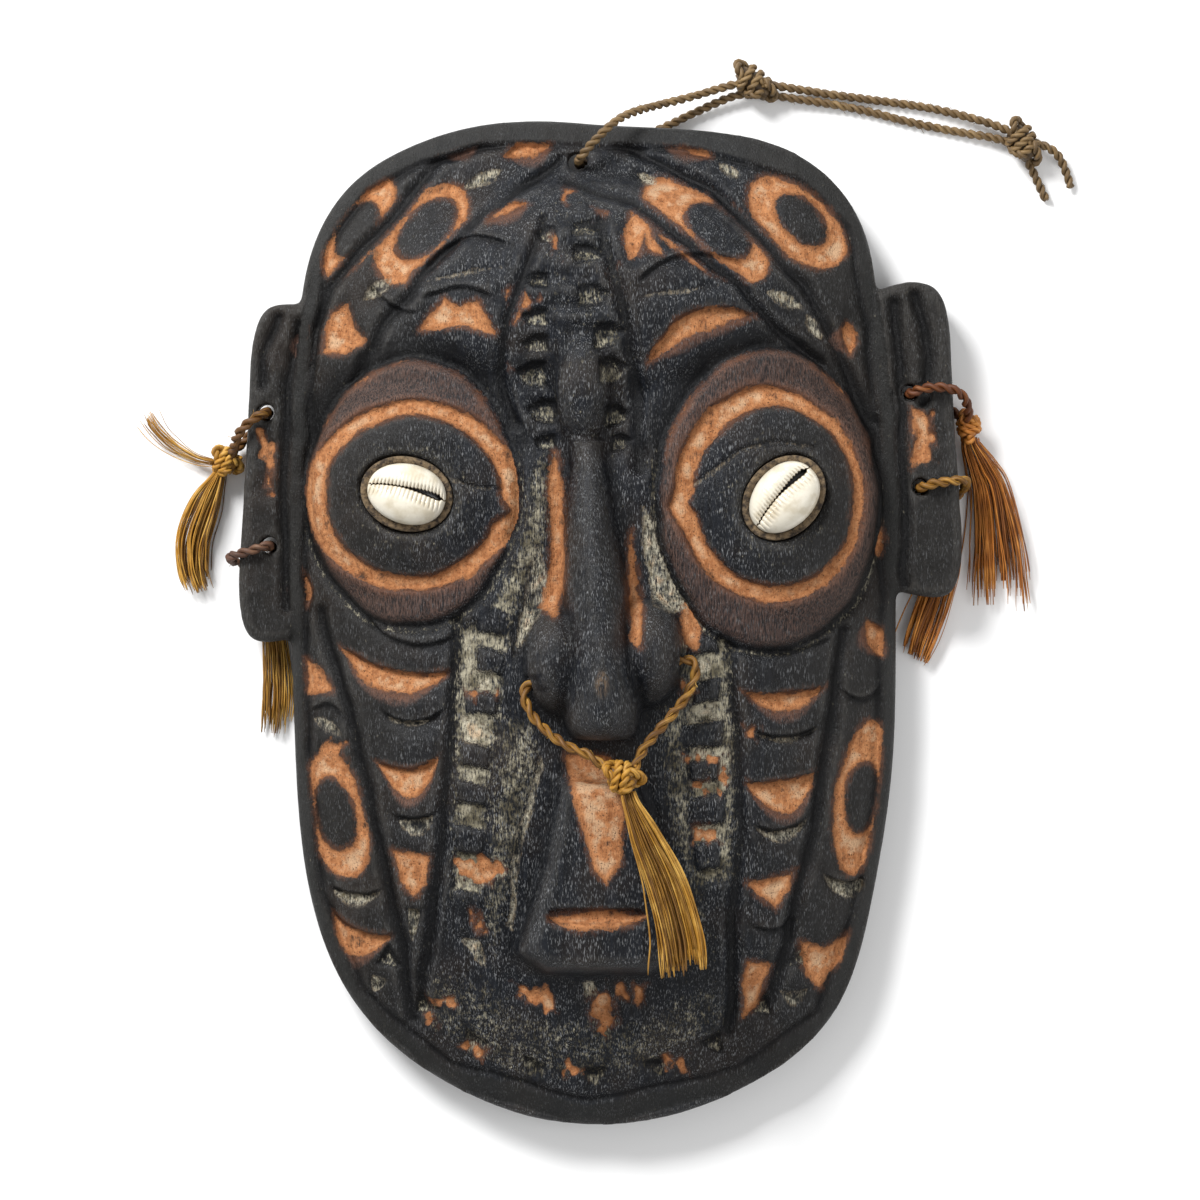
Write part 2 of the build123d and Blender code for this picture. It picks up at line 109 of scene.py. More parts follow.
# ---------------------------------------------------------------- nodes for the materials
class Shader:
    """A material with short calls for the nodes that the materials below share."""

    def __init__(self, name):
        self.material = bpy.data.materials.new(name)
        self.material.use_nodes = True
        self.tree = self.material.node_tree
        self.surface = self.tree.nodes["Principled BSDF"]

    def add(self, kind, inputs=(), **settings):
        node = self.tree.nodes.new(kind)
        for key, value in settings.items():
            setattr(node, key, value)
        for key, value in dict(inputs).items():
            self.feed(node.inputs[key], value)
        return node

    def feed(self, socket, value):
        if isinstance(value, bpy.types.NodeSocket):
            self.tree.links.new(value, socket)
        else:
            socket.default_value = value

    def millimetres(self, stretch=(1, 1, 1)):
        """Object coordinates in millimetres, stretched along each axis."""
        place = self.add("ShaderNodeTexCoord").outputs["Object"]
        scale = tuple(1000 * s for s in stretch)
        return self.add("ShaderNodeMapping", {"Vector": place, "Scale": scale}).outputs["Vector"]

    def along(self, stretch):
        """UV coordinates of a strand: once round it, and its length in millimetres."""
        place = self.add("ShaderNodeTexCoord").outputs["UV"]
        return self.add("ShaderNodeMapping", {"Vector": place, "Scale": (*stretch, 1)}).outputs["Vector"]

    def noise(self, vector, scale, detail=3.0, roughness=0.55):
        sizes = {"Vector": vector, "Scale": scale, "Detail": detail, "Roughness": roughness}
        return self.add("ShaderNodeTexNoise", sizes).outputs["Fac"]

    def attribute(self, name):
        return self.add("ShaderNodeAttribute", attribute_name=name).outputs["Fac"]

    def math(self, operation, a, b=0.0, c=0.0, clamp=False):
        return self.add("ShaderNodeMath", {0: a, 1: b, 2: c}, operation=operation, use_clamp=clamp).outputs[0]

    def times(self, a, b):
        return self.math("MULTIPLY", a, b)

    def plus(self, a, b):
        return self.math("ADD", a, b)

    def between(self, value, low, high):
        """0 at low, 1 at high, smooth between; low may be above high."""
        inputs = {"Value": value, "From Min": low, "From Max": high}
        return self.add("ShaderNodeMapRange", inputs, interpolation_type="SMOOTHSTEP").outputs["Result"]

    def mix(self, share, a, b):
        node = self.add("ShaderNodeMix", data_type="RGBA")
        self.feed(node.inputs[0], share)
        self.feed(node.inputs[6], a)
        self.feed(node.inputs[7], b)
        return node.outputs[2]

    def over(self, under, share, strength, tone):
        """A tone laid over a colour where the share says, at that strength."""
        return self.mix(self.times(share, strength), under, tone)

    def mix_number(self, share, a, b):
        node = self.add("ShaderNodeMix", data_type="FLOAT")
        self.feed(node.inputs[0], share)
        self.feed(node.inputs[2], a)
        self.feed(node.inputs[3], b)
        return node.outputs[0]

    def bump(self, height, depth_mm, below=None):
        inputs = {"Height": height, "Distance": depth_mm * MM, "Strength": 1.0}
        if below is not None:
            inputs["Normal"] = below
        return self.add("ShaderNodeBump", inputs).outputs["Normal"]

    def finish(self, colour, roughness, normal):
        for name, value in (("Base Color", colour), ("Roughness", roughness), ("Normal", normal)):
            self.feed(self.surface.inputs[name], value)
        return self.material


def rgb(red, green, blue):
    """A colour named by its screen values from 0 to 255."""
    return tuple((v / 255) ** 2.2 for v in (red, green, blue)) + (1.0,)


def wood_material():
    """Blue-black stain with streaks of grain, ochre and cream paint in the carving, and worn edges; with
    painted highlights on proud edges, painted glints and painted shade in the hollows.
    """
    s = Shader("stained_carved_wood")
    place = s.millimetres()
    # streaks and threads run along the grain, and the rest are blotches of four sizes
    streaks = s.noise(s.millimetres((0.8, 0.06, 0.8)), 1.0, 5, 0.65)
    threads = s.noise(s.millimetres((3.8, 0.42, 3.8)), 1.0, 3, 0.6)
    cloud = s.noise(place, 0.05, 3)
    speck = s.noise(place, 2.2, 3, 0.6)
    crumb = s.noise(place, 0.75, 4, 0.65)
    patch = s.noise(place, 0.2, 4, 0.6)
    across = s.add("ShaderNodeSeparateXYZ", {"Vector": place}).outputs["X"]
    outer = s.between(s.math("ABSOLUTE", across), 28.0, 66.0)

    stain = s.mix(s.between(streaks, 0.34, 0.7), rgb(9, 11, 16), rgb(27, 30, 36))
    stain = s.over(stain, outer, 0.75, s.mix(streaks, rgb(20, 19, 18), rgb(46, 43, 39)))
    stain = s.over(stain, s.between(cloud, 0.46, 0.66), 0.55, rgb(40, 33, 28))
    # rubbed edges, along the grain: partly wear, and partly a painted highlight on whatever stands proud
    wear_and_highlight = s.times(s.between(s.attribute("wear_and_highlight"), 0.4, 1.0), s.between(threads, 0.3, 0.62))
    colour = s.over(stain, wear_and_highlight, 0.15, rgb(108, 105, 100))
    worn = s.times(s.between(s.attribute("wear_and_highlight"), 1.0, 1.6), s.between(threads, 0.35, 0.6))
    colour = s.over(colour, worn, 0.5, rgb(124, 100, 74))
    # painted glints: specks of painted highlight along the grain, fewer towards the sides
    glints = s.noise(s.millimetres((3.6, 0.7, 3.6)), 1.0, 2, 0.5)
    glints = s.times(s.between(glints, 0.53, 0.68), s.between(patch, 0.28, 0.6))
    seen = s.mix_number(outer, 0.58, 0.20)
    colour = s.over(colour, glints, seen, rgb(142, 144, 146))
    # the plain dark rim
    rim = s.times(s.attribute("rim"), s.mix_number(streaks, 0.5, 1.0))
    colour = s.mix(rim, colour, rgb(38, 38, 37))
    # painted shade: hollows, grooves and the places the carving marks as in shade darkened towards black
    hollow_shade = s.between(s.attribute("hollow_shade"), 0.1, 1.0)
    deep = s.math("MULTIPLY_ADD", hollow_shade, 0.5, s.attribute("deep"), clamp=True)
    colour = s.over(colour, deep, 0.8, rgb(7, 8, 11))

    ragged = s.math("MULTIPLY_ADD", crumb, 1.9, -0.95)
    ragged = s.plus(ragged, s.math("MULTIPLY_ADD", speck, 0.9, -0.45))
    streaky = s.plus(ragged, s.math("MULTIPLY_ADD", threads, 3.0, -1.5))
    # purple-brown, streaked with black, round the eyes and where ochre has faded down the grain
    band = s.between(s.plus(s.attribute("band"), streaky), 0.5, -0.7)
    near_ring = s.between(s.attribute("ochre"), 2.8, 0.2)
    purple = s.mix(s.between(threads, 0.35, 0.68), rgb(24, 20, 21), rgb(104, 80, 70))
    purple = s.over(purple, near_ring, s.between(threads, 0.3, 0.7), rgb(128, 88, 68))
    colour = s.over(colour, band, s.mix_number(cloud, 0.4, 0.8), purple)
    fringe = s.between(s.plus(s.attribute("ochre"), streaky), 1.5, 0.0)
    fringe = s.times(fringe, s.between(patch, 0.36, 0.6))
    colour = s.over(colour, fringe, 0.6, rgb(100, 66, 48))

    # pale dust and old paint that stays in the hollows
    silt = s.noise(s.millimetres((2.4, 0.5, 2.4)), 1.0, 4, 0.65)
    grains = s.math("MULTIPLY_ADD", silt, 0.62, s.times(crumb, 0.42))
    dust = s.between(s.math("MULTIPLY_ADD", s.attribute("dust"), 0.27, grains), 0.62, 0.84)
    pale = s.mix(s.between(patch, 0.35, 0.65), rgb(100, 93, 74), rgb(192, 184, 160))
    colour = s.over(colour, dust, 0.82, pale)

    covers = []
    for name, dark, light, left in (
        ("ochre", rgb(142, 90, 56), rgb(187, 129, 86), 0.25),
        ("cream", rgb(104, 97, 76), rgb(198, 192, 172), 0.38),
    ):
        edge = s.attribute(name)
        chewed = s.plus(s.math("MULTIPLY_ADD", patch, 3.2, -1.6), ragged)
        inside = s.between(s.plus(edge, chewed), 0.25, -0.35)
        worn_off = s.between(s.math("MULTIPLY_ADD", threads, 0.35, patch), left + 0.12, left + 0.34)
        cover = s.times(inside, worn_off)
        if name == "cream":
            cover = s.times(cover, s.between(silt, 0.36, 0.58))
        tone = s.mix(s.between(s.math("MULTIPLY_ADD", streaks, 0.5, crumb), 0.5, 0.95), dark, light)
        chalky = s.times(s.between(patch, 0.45, 0.62), s.between(edge, -0.6, -2.4))
        tone = s.over(tone, chalky, 0.7, rgb(204, 172, 138))
        tone = s.mix(s.between(edge, -1.2, 0.1), tone, s.mix(0.4, tone, rgb(88, 58, 40)))
        pits = s.between(speck, 0.41, 0.34)
        tone = s.over(tone, pits, 0.8, rgb(52, 36, 28))
        covers.append(cover)
        colour = s.over(colour, cover, 0.94, tone)
    painted = s.math("MAXIMUM", s.math("MAXIMUM", covers[0], covers[1]), dust)
    s.surface.inputs["Specular IOR Level"].default_value = 0.22
    roughness = s.mix_number(painted, s.mix_number(streaks, 0.36, 0.56), 0.9)
    grain = s.bump(threads, 0.26)
    grain = s.bump(glints, 0.12, grain)
    grain = s.bump(crumb, 0.2, grain)
    return s.finish(colour, roughness, s.bump(speck, 0.1, grain))


def fibre_material(name, dark, light, pale):
    """Plant fibre: fine streaks along each strand, in three tones."""
    s = Shader(name)
    streaks = s.noise(s.along((9.0, 0.22)), 1.0, 3, 0.6)
    body = s.noise(s.millimetres(), 0.16, 3)
    tone = s.math("MULTIPLY_ADD", s.attribute("shade"), 0.5, s.times(streaks, 0.8))
    colour = s.mix(s.between(tone, 0.3, 0.9), dark, light)
    paler = s.times(s.between(body, 0.42, 0.68), s.between(tone, 0.4, 0.9))
    colour = s.over(colour, paler, 0.7, pale)
    return s.finish(colour, 0.62, s.bump(streaks, 0.12))


def shell_material():
    """Polished cream shell, with warm grey painted shade in the grooves by its mouth and painted dark shade
    inside the slit.
    """
    s = Shader("cowrie_shell")
    blotch = s.noise(s.millimetres(), 0.22, 3)
    fine = s.noise(s.millimetres(), 1.4, 3)
    colour = s.mix(s.between(blotch, 0.4, 0.7), rgb(222, 215, 198), rgb(198, 187, 164))
    colour = s.over(colour, s.between(s.attribute("hollow_shade"), 0.1, 0.9), 0.8, rgb(132, 112, 82))
    colour = s.over(colour, s.between(fine, 0.55, 0.75), 0.25, rgb(190, 180, 160))
    # painted shade: the inside of the slit near black
    colour = s.mix(s.attribute("mouth"), colour, rgb(20, 14, 10))
    s.surface.inputs["Coat Weight"].default_value = 0.35
    return s.finish(colour, 0.28, s.bump(fine, 0.04))


def putty_material():
    """Rough tan resin in dark and light blotches, with darker grit."""
    s = Shader("putty")
    lumps = s.noise(s.millimetres(), 0.7, 4, 0.65)
    grit = s.noise(s.millimetres(), 3.2, 3)
    colour = s.mix(s.between(lumps, 0.35, 0.65), rgb(44, 36, 29), rgb(118, 100, 76))
    colour = s.over(colour, s.between(grit, 0.55, 0.7), 0.5, rgb(60, 48, 38))
    return s.finish(colour, 0.9, s.bump(grit, 0.2))


# ---------------------------------------------------------------- shapes in the plane of the face
# Each takes the points' x and y and gives their signed distance to the shape's edge, negative inside.
FAR = 9.0  # a distance with no shape near


def oval(x, y, centre, half, turn=0.0):
    a = math.radians(turn)
    u = (x - centre[0]) * math.cos(a) + (y - centre[1]) * math.sin(a)
    v = (y - centre[1]) * math.cos(a) - (x - centre[0]) * math.sin(a)
    near = np.hypot(u / half[0], v / half[1])
    steep = np.hypot(u / half[0] ** 2, v / half[1] ** 2)
    return near * (near - 1) / np.maximum(steep, 1e-6)


def polygon(x, y, corners, soften=0.6):
    """A polygon with rounded corners."""
    corners = np.array(corners, float)
    nearest = np.full(x.shape, 1e9)
    inside = np.zeros(x.shape, bool)
    for (ax, ay), (bx, by) in zip(corners, np.roll(corners, -1, axis=0)):
        ex, ey = bx - ax, by - ay
        t = np.clip(((x - ax) * ex + (y - ay) * ey) / (ex * ex + ey * ey), 0, 1)
        nearest = np.minimum(nearest, np.hypot(x - ax - t * ex, y - ay - t * ey))
        crosses = (ay > y) != (by > y)
        inside ^= crosses & (x < ax + (y - ay) * ex / (ey if ey else 1e-9))
    return np.where(inside, -nearest, nearest) - soften * 0.4


def stroke(x, y, route, wide, narrow=None):
    """A line of the given half width, or running from wide to narrow."""
    route = np.array(route, float)
    narrow = wide if narrow is None else narrow
    nearest = np.full(x.shape, 1e9)
    steps = len(route) - 1
    for i, ((ax, ay), (bx, by)) in enumerate(zip(route, route[1:])):
        ex, ey = bx - ax, by - ay
        t = np.clip(((x - ax) * ex + (y - ay) * ey) / (ex * ex + ey * ey), 0, 1)
        width = wide + (narrow - wide) * (i + t) / steps
        nearest = np.minimum(nearest, np.hypot(x - ax - t * ex, y - ay - t * ey) - width)
    return nearest


def crescent(x, y, start, end, low, high):
    """Between two bows over the chord from start to end, rising low and high to its left."""
    ex, ey = end[0] - start[0], end[1] - start[1]
    length = math.hypot(ex, ey)
    t = ((x - start[0]) * ex + (y - start[1]) * ey) / length**2
    v = ((y - start[1]) * ex - (x - start[0]) * ey) / length
    bow = 4 * t * (1 - t)
    ends = (np.abs(t - 0.5) - 0.5) * length
    return np.maximum(np.maximum(v - high * bow, low * bow - v) * 0.85, ends)


def scale_edge(x, y, start, end, bow):
    """The height of one scale and what lies under it, and the painted shade just under its edge, along a
    bowed edge.
    """
    ex, ey = end[0] - start[0], end[1] - start[1]
    length = math.hypot(ex, ey)
    t = ((x - start[0]) * ex + (y - start[1]) * ey) / length**2
    v = ((y - start[1]) * ex - (x - start[0]) * ey) / length
    under = bow * 4 * t * (1 - t) - v
    within = smooth_step(np.minimum(t, 1 - t) * length, -0.6, 2.4)
    below = smooth_step(under, -0.5, 0.4)
    falls = np.exp(-np.maximum(under, 0) / 2.6)
    height = within * (0.65 * (1 - below) * np.exp(np.minimum(under, 0) / 2.4) - 1.25 * below * falls)
    # painted shade in the step under the scale's edge
    dark = within * 0.7 * (1 - smooth_step(np.abs(under - 0.3), 0.2, 1.0))
    return height, dark


def sampled(noise_grid, u, v):
    """Smooth value noise from a grid that repeats, at u and v in grid steps."""
    n = noise_grid.shape[0]
    i, j = np.floor(u).astype(int), np.floor(v).astype(int)
    a, b = u - i, v - j
    a, b = a * a * (3 - 2 * a), b * b * (3 - 2 * b)
    g = noise_grid
    low = g[i % n, j % n] * (1 - a) + g[(i + 1) % n, j % n] * a
    high = g[i % n, (j + 1) % n] * (1 - a) + g[(i + 1) % n, (j + 1) % n] * a
    return low * (1 - b) + high * b


def smooth_step(value, low, high):
    t = np.clip((value - low) / (high - low), 0, 1)
    return t * t * (3 - 2 * t)


# ---------------------------------------------------------------- the carving, in millimetres
HEAD_OFFSET, HEAD_HALF = -1.7, (79.0, 131.0)
HEAD_SHARES = [
    (-0.05, 1.0), (0.36, 0.985), (0.72, 0.920), (0.885, 0.800), (0.945, 0.600), (0.985, 0.400),
    (1.0, 0.05), (0.985, -0.31), (0.925, -0.54), (0.78, -0.79), (0.50, -0.925), (-0.02, -1.0),
    (-0.50, -0.912), (-0.80, -0.75), (-0.94, -0.54), (-0.99, -0.25), (-1.0, 0.08), (-0.98, 0.50),
    (-0.925, 0.762), (-0.79, 0.885), (-0.60, 0.955), (-0.38, 0.995),
]
HEAD = [(HEAD_OFFSET + u * HEAD_HALF[0], v * HEAD_HALF[1]) for u, v in HEAD_SHARES]

# Rings of paint with a raised dark core: (centre, half, turn, core centre, core half, core turn)
RINGS = [
    ((-62.8, 103.4), (14.8, 6.6), 57, (-63.6, 102.8), (7.6, 4.1), 57),
    ((-46.2, 101.2), (16.0, 8.6), 49, (-45.0, 102.6), (9.4, 5.1), 48),
    ((27.2, 102.0), (19.5, 9.2), -37, (30.6, 101.6), (9.0, 5.0), -38),
    ((51.0, 104.6), (15.6, 8.4), -42, (52.2, 105.4), (7.8, 4.4), -45),
    ((-68.3, -49.6), (16.8, 7.9), 103, (-69.0, -49.4), (8.8, 4.8), 103),
    ((67.9, -45.3), (20.6, 6.9), 82, (68.2, -45.2), (8.9, 3.9), 84),
]
# The eyes: (band centre, half, turn), (ring centre, half, turn), (disc centre, half, turn)
EYES = [
    (((-48.9, 34.1), (28.0, 35.0), 0), ((-48.4, 33.1), (28.2, 24.4), 4), ((-48.6, 32.9), (22.8, 20.6), 2)),
    (((43.6, 32.2), (29.4, 39.3), 0), ((43.8, 33.3), (24.2, 28.0), 8), ((45.0, 33.0), (20.6, 23.2), 6)),
]
# Crescents of ochre under the edges of scales: (start, end, low bow, high bow)
OCHRE_CRESCENTS = [
    ((-41.5, 122.8), (-31.5, 127.2), -1.4, 1.6),
    ((-24.6, 121.6), (-12.4, 126.0), -2.2, 2.2),
    ((-29.0, 103.6), (-18.8, 108.8), -0.6, 2.8),
    ((16.2, 126.4), (28.8, 121.6), -1.2, 2.4),
    ((12.2, 67.4), (39.4, 79.4), 1.6, 7.2),
    ((-67.0, -6.4), (-37.8, -11.6), -9.2, -2.9),
    ((-58.2, -36.2), (-42.0, -34.9), -9.3, -1.7),
    ((-69.8, -75.2), (-53.4, -80.8), -8.8, -2.4),
    ((37.1, -17.4), (58.2, -16.2), -6.0, -1.0),
    ((37.1, -41.2), (56.8, -39.0), -8.8, -0.2),
    ((-77.8, 13.6), (-76.8, 4.8), -1.2, 1.4),
    ((-76.4, 76.8), (-77.2, 67.6), -1.2, 1.0),
    ((64.2, 78.6), (65.4, 69.6), -2.2, 1.9),
    ((71.8, 27.6), (72.6, 17.8), -1.8, 1.4),
    ((69.4, 1.4), (73.6, -8.4), -2.4, 3.0),
]
OCHRE_POLYGONS = [
    [(-46.8, 75.8), (-44.6, 79.4), (-40.6, 84.0), (-36.6, 81.2), (-31.4, 83.0), (-27.4, 75.0), (-37.0, 76.4)],
    [(-72.4, 71.0), (-69.6, 80.6), (-66.2, 82.8), (-63.0, 76.4), (-60.0, 73.4), (-66.6, 70.4)],
    [(6.6, 99.6), (8.2, 106.6), (12.0, 103.6), (16.0, 95.6), (12.6, 96.4), (11.6, 101.0), (10.2, 95.4),
     (7.6, 94.0)],
    [(-76.6, -9.6), (-78.0, -17.6), (-70.0, -17.8), (-73.4, -11.4)],
    [(-53.7, -58.8), (-43.2, -60.6), (-44.8, -67.0), (-47.8, -70.6), (-51.4, -67.2)],
    [(38.1, -67.2), (43.0, -66.6), (52.4, -63.2), (51.4, -67.2), (47.2, -70.6), (45.6, -73.6), (40.6, -70.6)],
    [(38.2, -87.6), (45.2, -89.2), (43.4, -96.4), (37.2, -102.6), (36.8, -94.0)],
    [(51.9, -82.4), (58.0, -84.4), (65.6, -80.2), (63.0, -86.6), (58.6, -91.0), (57.2, -95.2), (53.4, -91.0)],
    [(-11.6, 44.6), (-9.8, 34.0), (-9.4, 12.0), (-11.4, 2.0), (-15.0, 4.6), (-12.6, 16.0), (-13.4, 36.0)],
    [(8.2, 24.0), (9.6, 12.0), (11.0, 4.0), (10.2, -6.0), (8.0, -4.0), (7.6, 10.0)],
    [(20.8, 5.4), (23.6, 6.4), (26.4, 0.0), (25.0, -6.4), (22.0, -5.0)],
    [(-8.6, -33.0), (2.6, -34.2), (6.0, -46.0), (5.4, -60.8), (1.6, -66.4), (-1.6, -62.6), (-6.2, -46.0)],
]
# Patches where most of the ochre has gone
OCHRE_WORN = [
    [(-37.8, -61.0), (-27.4, -60.0), (-24.6, -64.0), (-30.6, -69.4), (-36.2, -66.0)],
    [(-35.0, -73.4), (-31.4, -74.0), (-29.4, -80.8), (-32.6, -79.4)],
    [(-33.8, -17.0), (-27.0, -17.4), (-27.0, -18.8), (-33.6, -18.6)],
    [(21.4, -14.4), (23.8, -14.2), (23.8, -20.8), (21.6, -20.6)],
    [(22.0, -33.6), (31.6, -33.4), (31.8, -35.4), (22.2, -35.4)],
    [(30.8, -35.0), (32.4, -35.0), (32.0, -41.4), (30.6, -40.6)],
    [(22.6, -40.6), (31.4, -41.4), (31.0, -44.0), (24.0, -42.6)],
    [(23.4, -51.8), (30.6, -52.2), (31.0, -55.6), (24.4, -56.0)],
    [(37.0, -26.2), (39.8, -26.4), (39.6, -29.4), (37.4, -29.0)],
    [(-9.4, 112.6), (-7.4, 112.0), (-8.6, 107.6), (-10.0, 108.6)],
    [(-1.4, 107.4), (1.0, 106.8), (1.2, 102.6), (-1.4, 103.4)],
    [(-13.2, 100.0), (-11.6, 100.4), (-10.0, 95.0), (-12.4, 96.6)],
    [(0.6, 92.6), (3.8, 93.0), (4.8, 86.0), (2.2, 88.0)],
    [(-24.0, 85.6), (-20.6, 86.8), (-16.0, 82.6), (-20.0, 81.0), (-21.8, 76.8), (-23.6, 78.6)],
    [(-23.0, 66.6), (-21.4, 67.2), (-21.0, 63.8), (-22.8, 64.2)],
    [(-70.4, -30.4), (-66.4, -31.4), (-64.8, -36.4), (-67.6, -33.6), (-72.8, -33.4)],
    [(-88.8, 50.4), (-84.6, 47.4), (-84.8, 34.0), (-87.8, 36.0)],
    [(79.6, 56.6), (86.6, 55.8), (87.0, 42.4), (80.6, 41.2)],
    [(-46.0, -96.4), (-37.8, -96.8), (-38.2, -99.8), (-45.6, -99.6)],
    [(-45.8, -101.4), (-43.0, -102.0), (-43.2, -104.8), (-45.6, -104.2)],
    [(-22.6, -92.4), (-12.6, -94.4), (-11.6, -100.6), (-18.4, -98.8)],
    [(-3.8, -95.2), (3.0, -95.4), (4.6, -103.6), (0.8, -107.0), (-2.4, -101.4)],
    [(3.6, -92.8), (6.8, -93.0), (7.0, -97.4), (3.8, -96.8)],
    [(8.6, -93.4), (12.2, -93.6), (10.6, -98.4), (8.4, -98.2)],
    [(-9.6, -112.6), (-3.6, -114.6), (-4.8, -118.0), (-9.4, -116.6)],
    [(16.4, -112.4), (22.8, -112.2), (22.4, -116.4), (17.4, -116.4)],
    [(-34.6, -107.4), (-28.8, -110.6), (-30.8, -114.6), (-35.4, -110.6)],
]
CREAM_CRESCENTS = [
    ((-35.6, 112.8), (-24.6, 118.2), -1.6, 2.2),
    ((-61.8, 84.0), (-54.0, 89.4), -1.8, 1.8),
    ((9.0, 117.6), (15.6, 113.4), -1.4, 1.6),
    ((30.6, 119.8), (36.8, 115.8), -1.4, 1.6),
    ((42.4, 86.2), (52.8, 81.8), -1.8, 2.0),
    ((53.4, 80.4), (57.8, 73.2), -1.6, 1.6),
    ((-75.2, -24.6), (-67.4, -29.4), -1.0, 2.0),
    ((-56.8, -23.0), (-39.8, -22.6), -3.6, -2.4),
    ((-53.2, -49.8), (-42.6, -49.2), -5.4, -1.4),
    ((-70.0, -68.4), (-57.0, -69.8), -5.0, -1.6),
    ((-50.2, -74.0), (-46.6, -74.4), -8.0, 0.2),
    ((-59.6, -91.0), (-54.8, -93.0), -4.6, 0.0),
    ((39.4, -27.8), (56.8, -26.4), -3.4, -2.2),
    ((39.6, -52.2), (53.6, -50.4), -5.6, -2.4),
    ((57.8, -65.4), (71.0, -66.0), -6.0, -1.6),
    ((46.6, -95.4), (54.0, -95.4), -4.0, -0.4),
    ((-44.6, 88.6), (-23.8, 92.2), -0.6, 0.5),
    ((9.6, 84.2), (32.0, 87.6), -0.6, 0.4),
]
CREAM_POLYGONS = [
    [(-35.5, -23.2), (-31.0, -25.0), (-25.8, -29.2), (-30.0, -31.0), (-35.3, -30.6)],
    [(24.0, -8.8), (28.0, -9.2), (28.2, -13.4), (25.8, -14.2)],
    [(21.8, -23.4), (30.2, -20.6), (30.6, -24.6), (23.0, -25.8)],
    [(-33.4, -12.0), (-28.0, -12.6), (-28.6, -17.0), (-33.6, -16.0)],
    [(-36.6, -81.6), (-31.4, -82.0), (-29.6, -89.2), (-32.6, -87.0)],
    [(10.8, 30.0), (13.4, 26.0), (17.0, 14.0), (22.4, 4.0), (18.6, 2.6), (14.2, 4.6), (11.8, 14.0)],
    [(-16.4, 20.0), (-13.6, 12.0), (-15.0, 3.0), (-22.0, -8.4), (-20.4, 0.0)],
    [(-15.0, -34.0), (-14.2, -36.0), (-20.6, -58.0), (-22.6, -79.0), (-23.6, -78.0), (-22.0, -56.0)],
    [(-4.6, -92.6), (-1.6, -92.4), (-1.0, -96.4), (-4.0, -96.6)],
]
# Edges of scales with nothing painted under them: (start, end, edge's bow)
PLAIN_SCALES = [
    ((-45.6, 91.8), (-22.8, 97.8), 5.0),
    ((9.0, 88.0), (37.6, 92.2), 5.6),
    ((-60.0, 88.2), (-47.0, 80.8), -2.0),
    ((-46.6, 84.6), (-27.0, 84.6), 2.0),
    ((-60.6, 2.6), (-37.4, -2.6), -4.6),
    ((-56.8, -22.4), (-39.8, -22.0), -3.0),
    ((-53.2, -49.0), (-42.6, -48.6), -1.6),
    ((37.0, -3.6), (60.6, -3.0), -3.6),
    ((39.4, -27.0), (56.8, -25.8), -2.6),
    ((39.6, -51.4), (53.6, -49.8), -2.6),
    ((-70.0, -67.6), (-57.0, -69.0), -2.4),
    ((57.8, -64.8), (71.0, -65.4), -2.4),
    ((62.4, -16.4), (74.0, -15.4), -3.2),
    ((-76.4, -22.6), (-66.6, -26.0), 3.2),
    ((39.0, -77.6), (50.6, -75.0), -2.8),
    ((-51.0, -73.0), (-45.8, -73.6), -1.0),
]
# Long cut lines: (points, half width)
GROOVES = [
    ([(-18.6, 128.2), (-41.0, 121.9), (-53.2, 106.6), (-70.1, 88.4), (-77.1, 67.3)], 0.6),
    ([(-9.8, 121.4), (-31.9, 104.5), (-46.4, 89.4), (-55.3, 79.0), (-64.6, 62.4)], 0.45),
    ([(4.8, 125.1), (29.0, 112.6), (53.2, 87.9), (62.3, 70.2), (70.6, 52.0)], 0.5),
    ([(-8.6, 114.4), (8.7, 109.2), (36.3, 86.6), (43.6, 77.7), (57.4, 67.4)], 0.45),
    ([(-72.7, 3.0), (-66.9, -18.7), (-62.4, -34.0), (-58.8, -49.4), (-55.2, -66.9), (-51.6, -82.9),
      (-48.6, -103.0)], 0.7),
    ([(-36.9, 1.0), (-37.7, -23.0), (-40.2, -42.7), (-42.1, -64.6), (-44.9, -81.4), (-46.8, -100.0)], 0.7),
    ([(33.3, -4.2), (34.6, -25.0), (36.0, -53.0), (34.6, -73.8), (33.4, -106.1)], 0.7),
    ([(63.2, -2.0), (59.0, -32.0), (56.2, -49.4), (52.0, -66.9), (49.3, -80.8), (43.6, -99.0)], 0.7),
    ([(-0.5, 104.0), (3.0, 90.0), (6.6, 76.0), (9.4, 60.0), (10.2, 40.0)], 0.8),
    ([(-14.4, 104.0), (-18.6, 92.0), (-24.4, 78.0), (-25.6, 64.0), (-22.0, 52.0)], 0.35),
    ([(75.4, 60.0), (76.6, 20.0), (75.6, -30.0), (72.6, -64.0)], 0.3),
    ([(-78.2, 56.0), (-79.0, 10.0), (-78.0, -36.0), (-74.8, -64.0)], 0.3),
    ([(-78.0, 78.0), (-81.6, 62.0), (-82.4, 30.0), (-82.0, 4.0)], 0.5),
    ([(76.8, 84.0), (78.4, 60.0), (79.2, 34.0), (79.0, 10.0)], 0.6),
    ([(82.0, 86.0), (86.0, 70.0), (84.0, 58.0)], 0.5),
    ([(-84.2, 80.0), (-88.0, 70.0), (-88.4, 62.0)], 0.4),
]
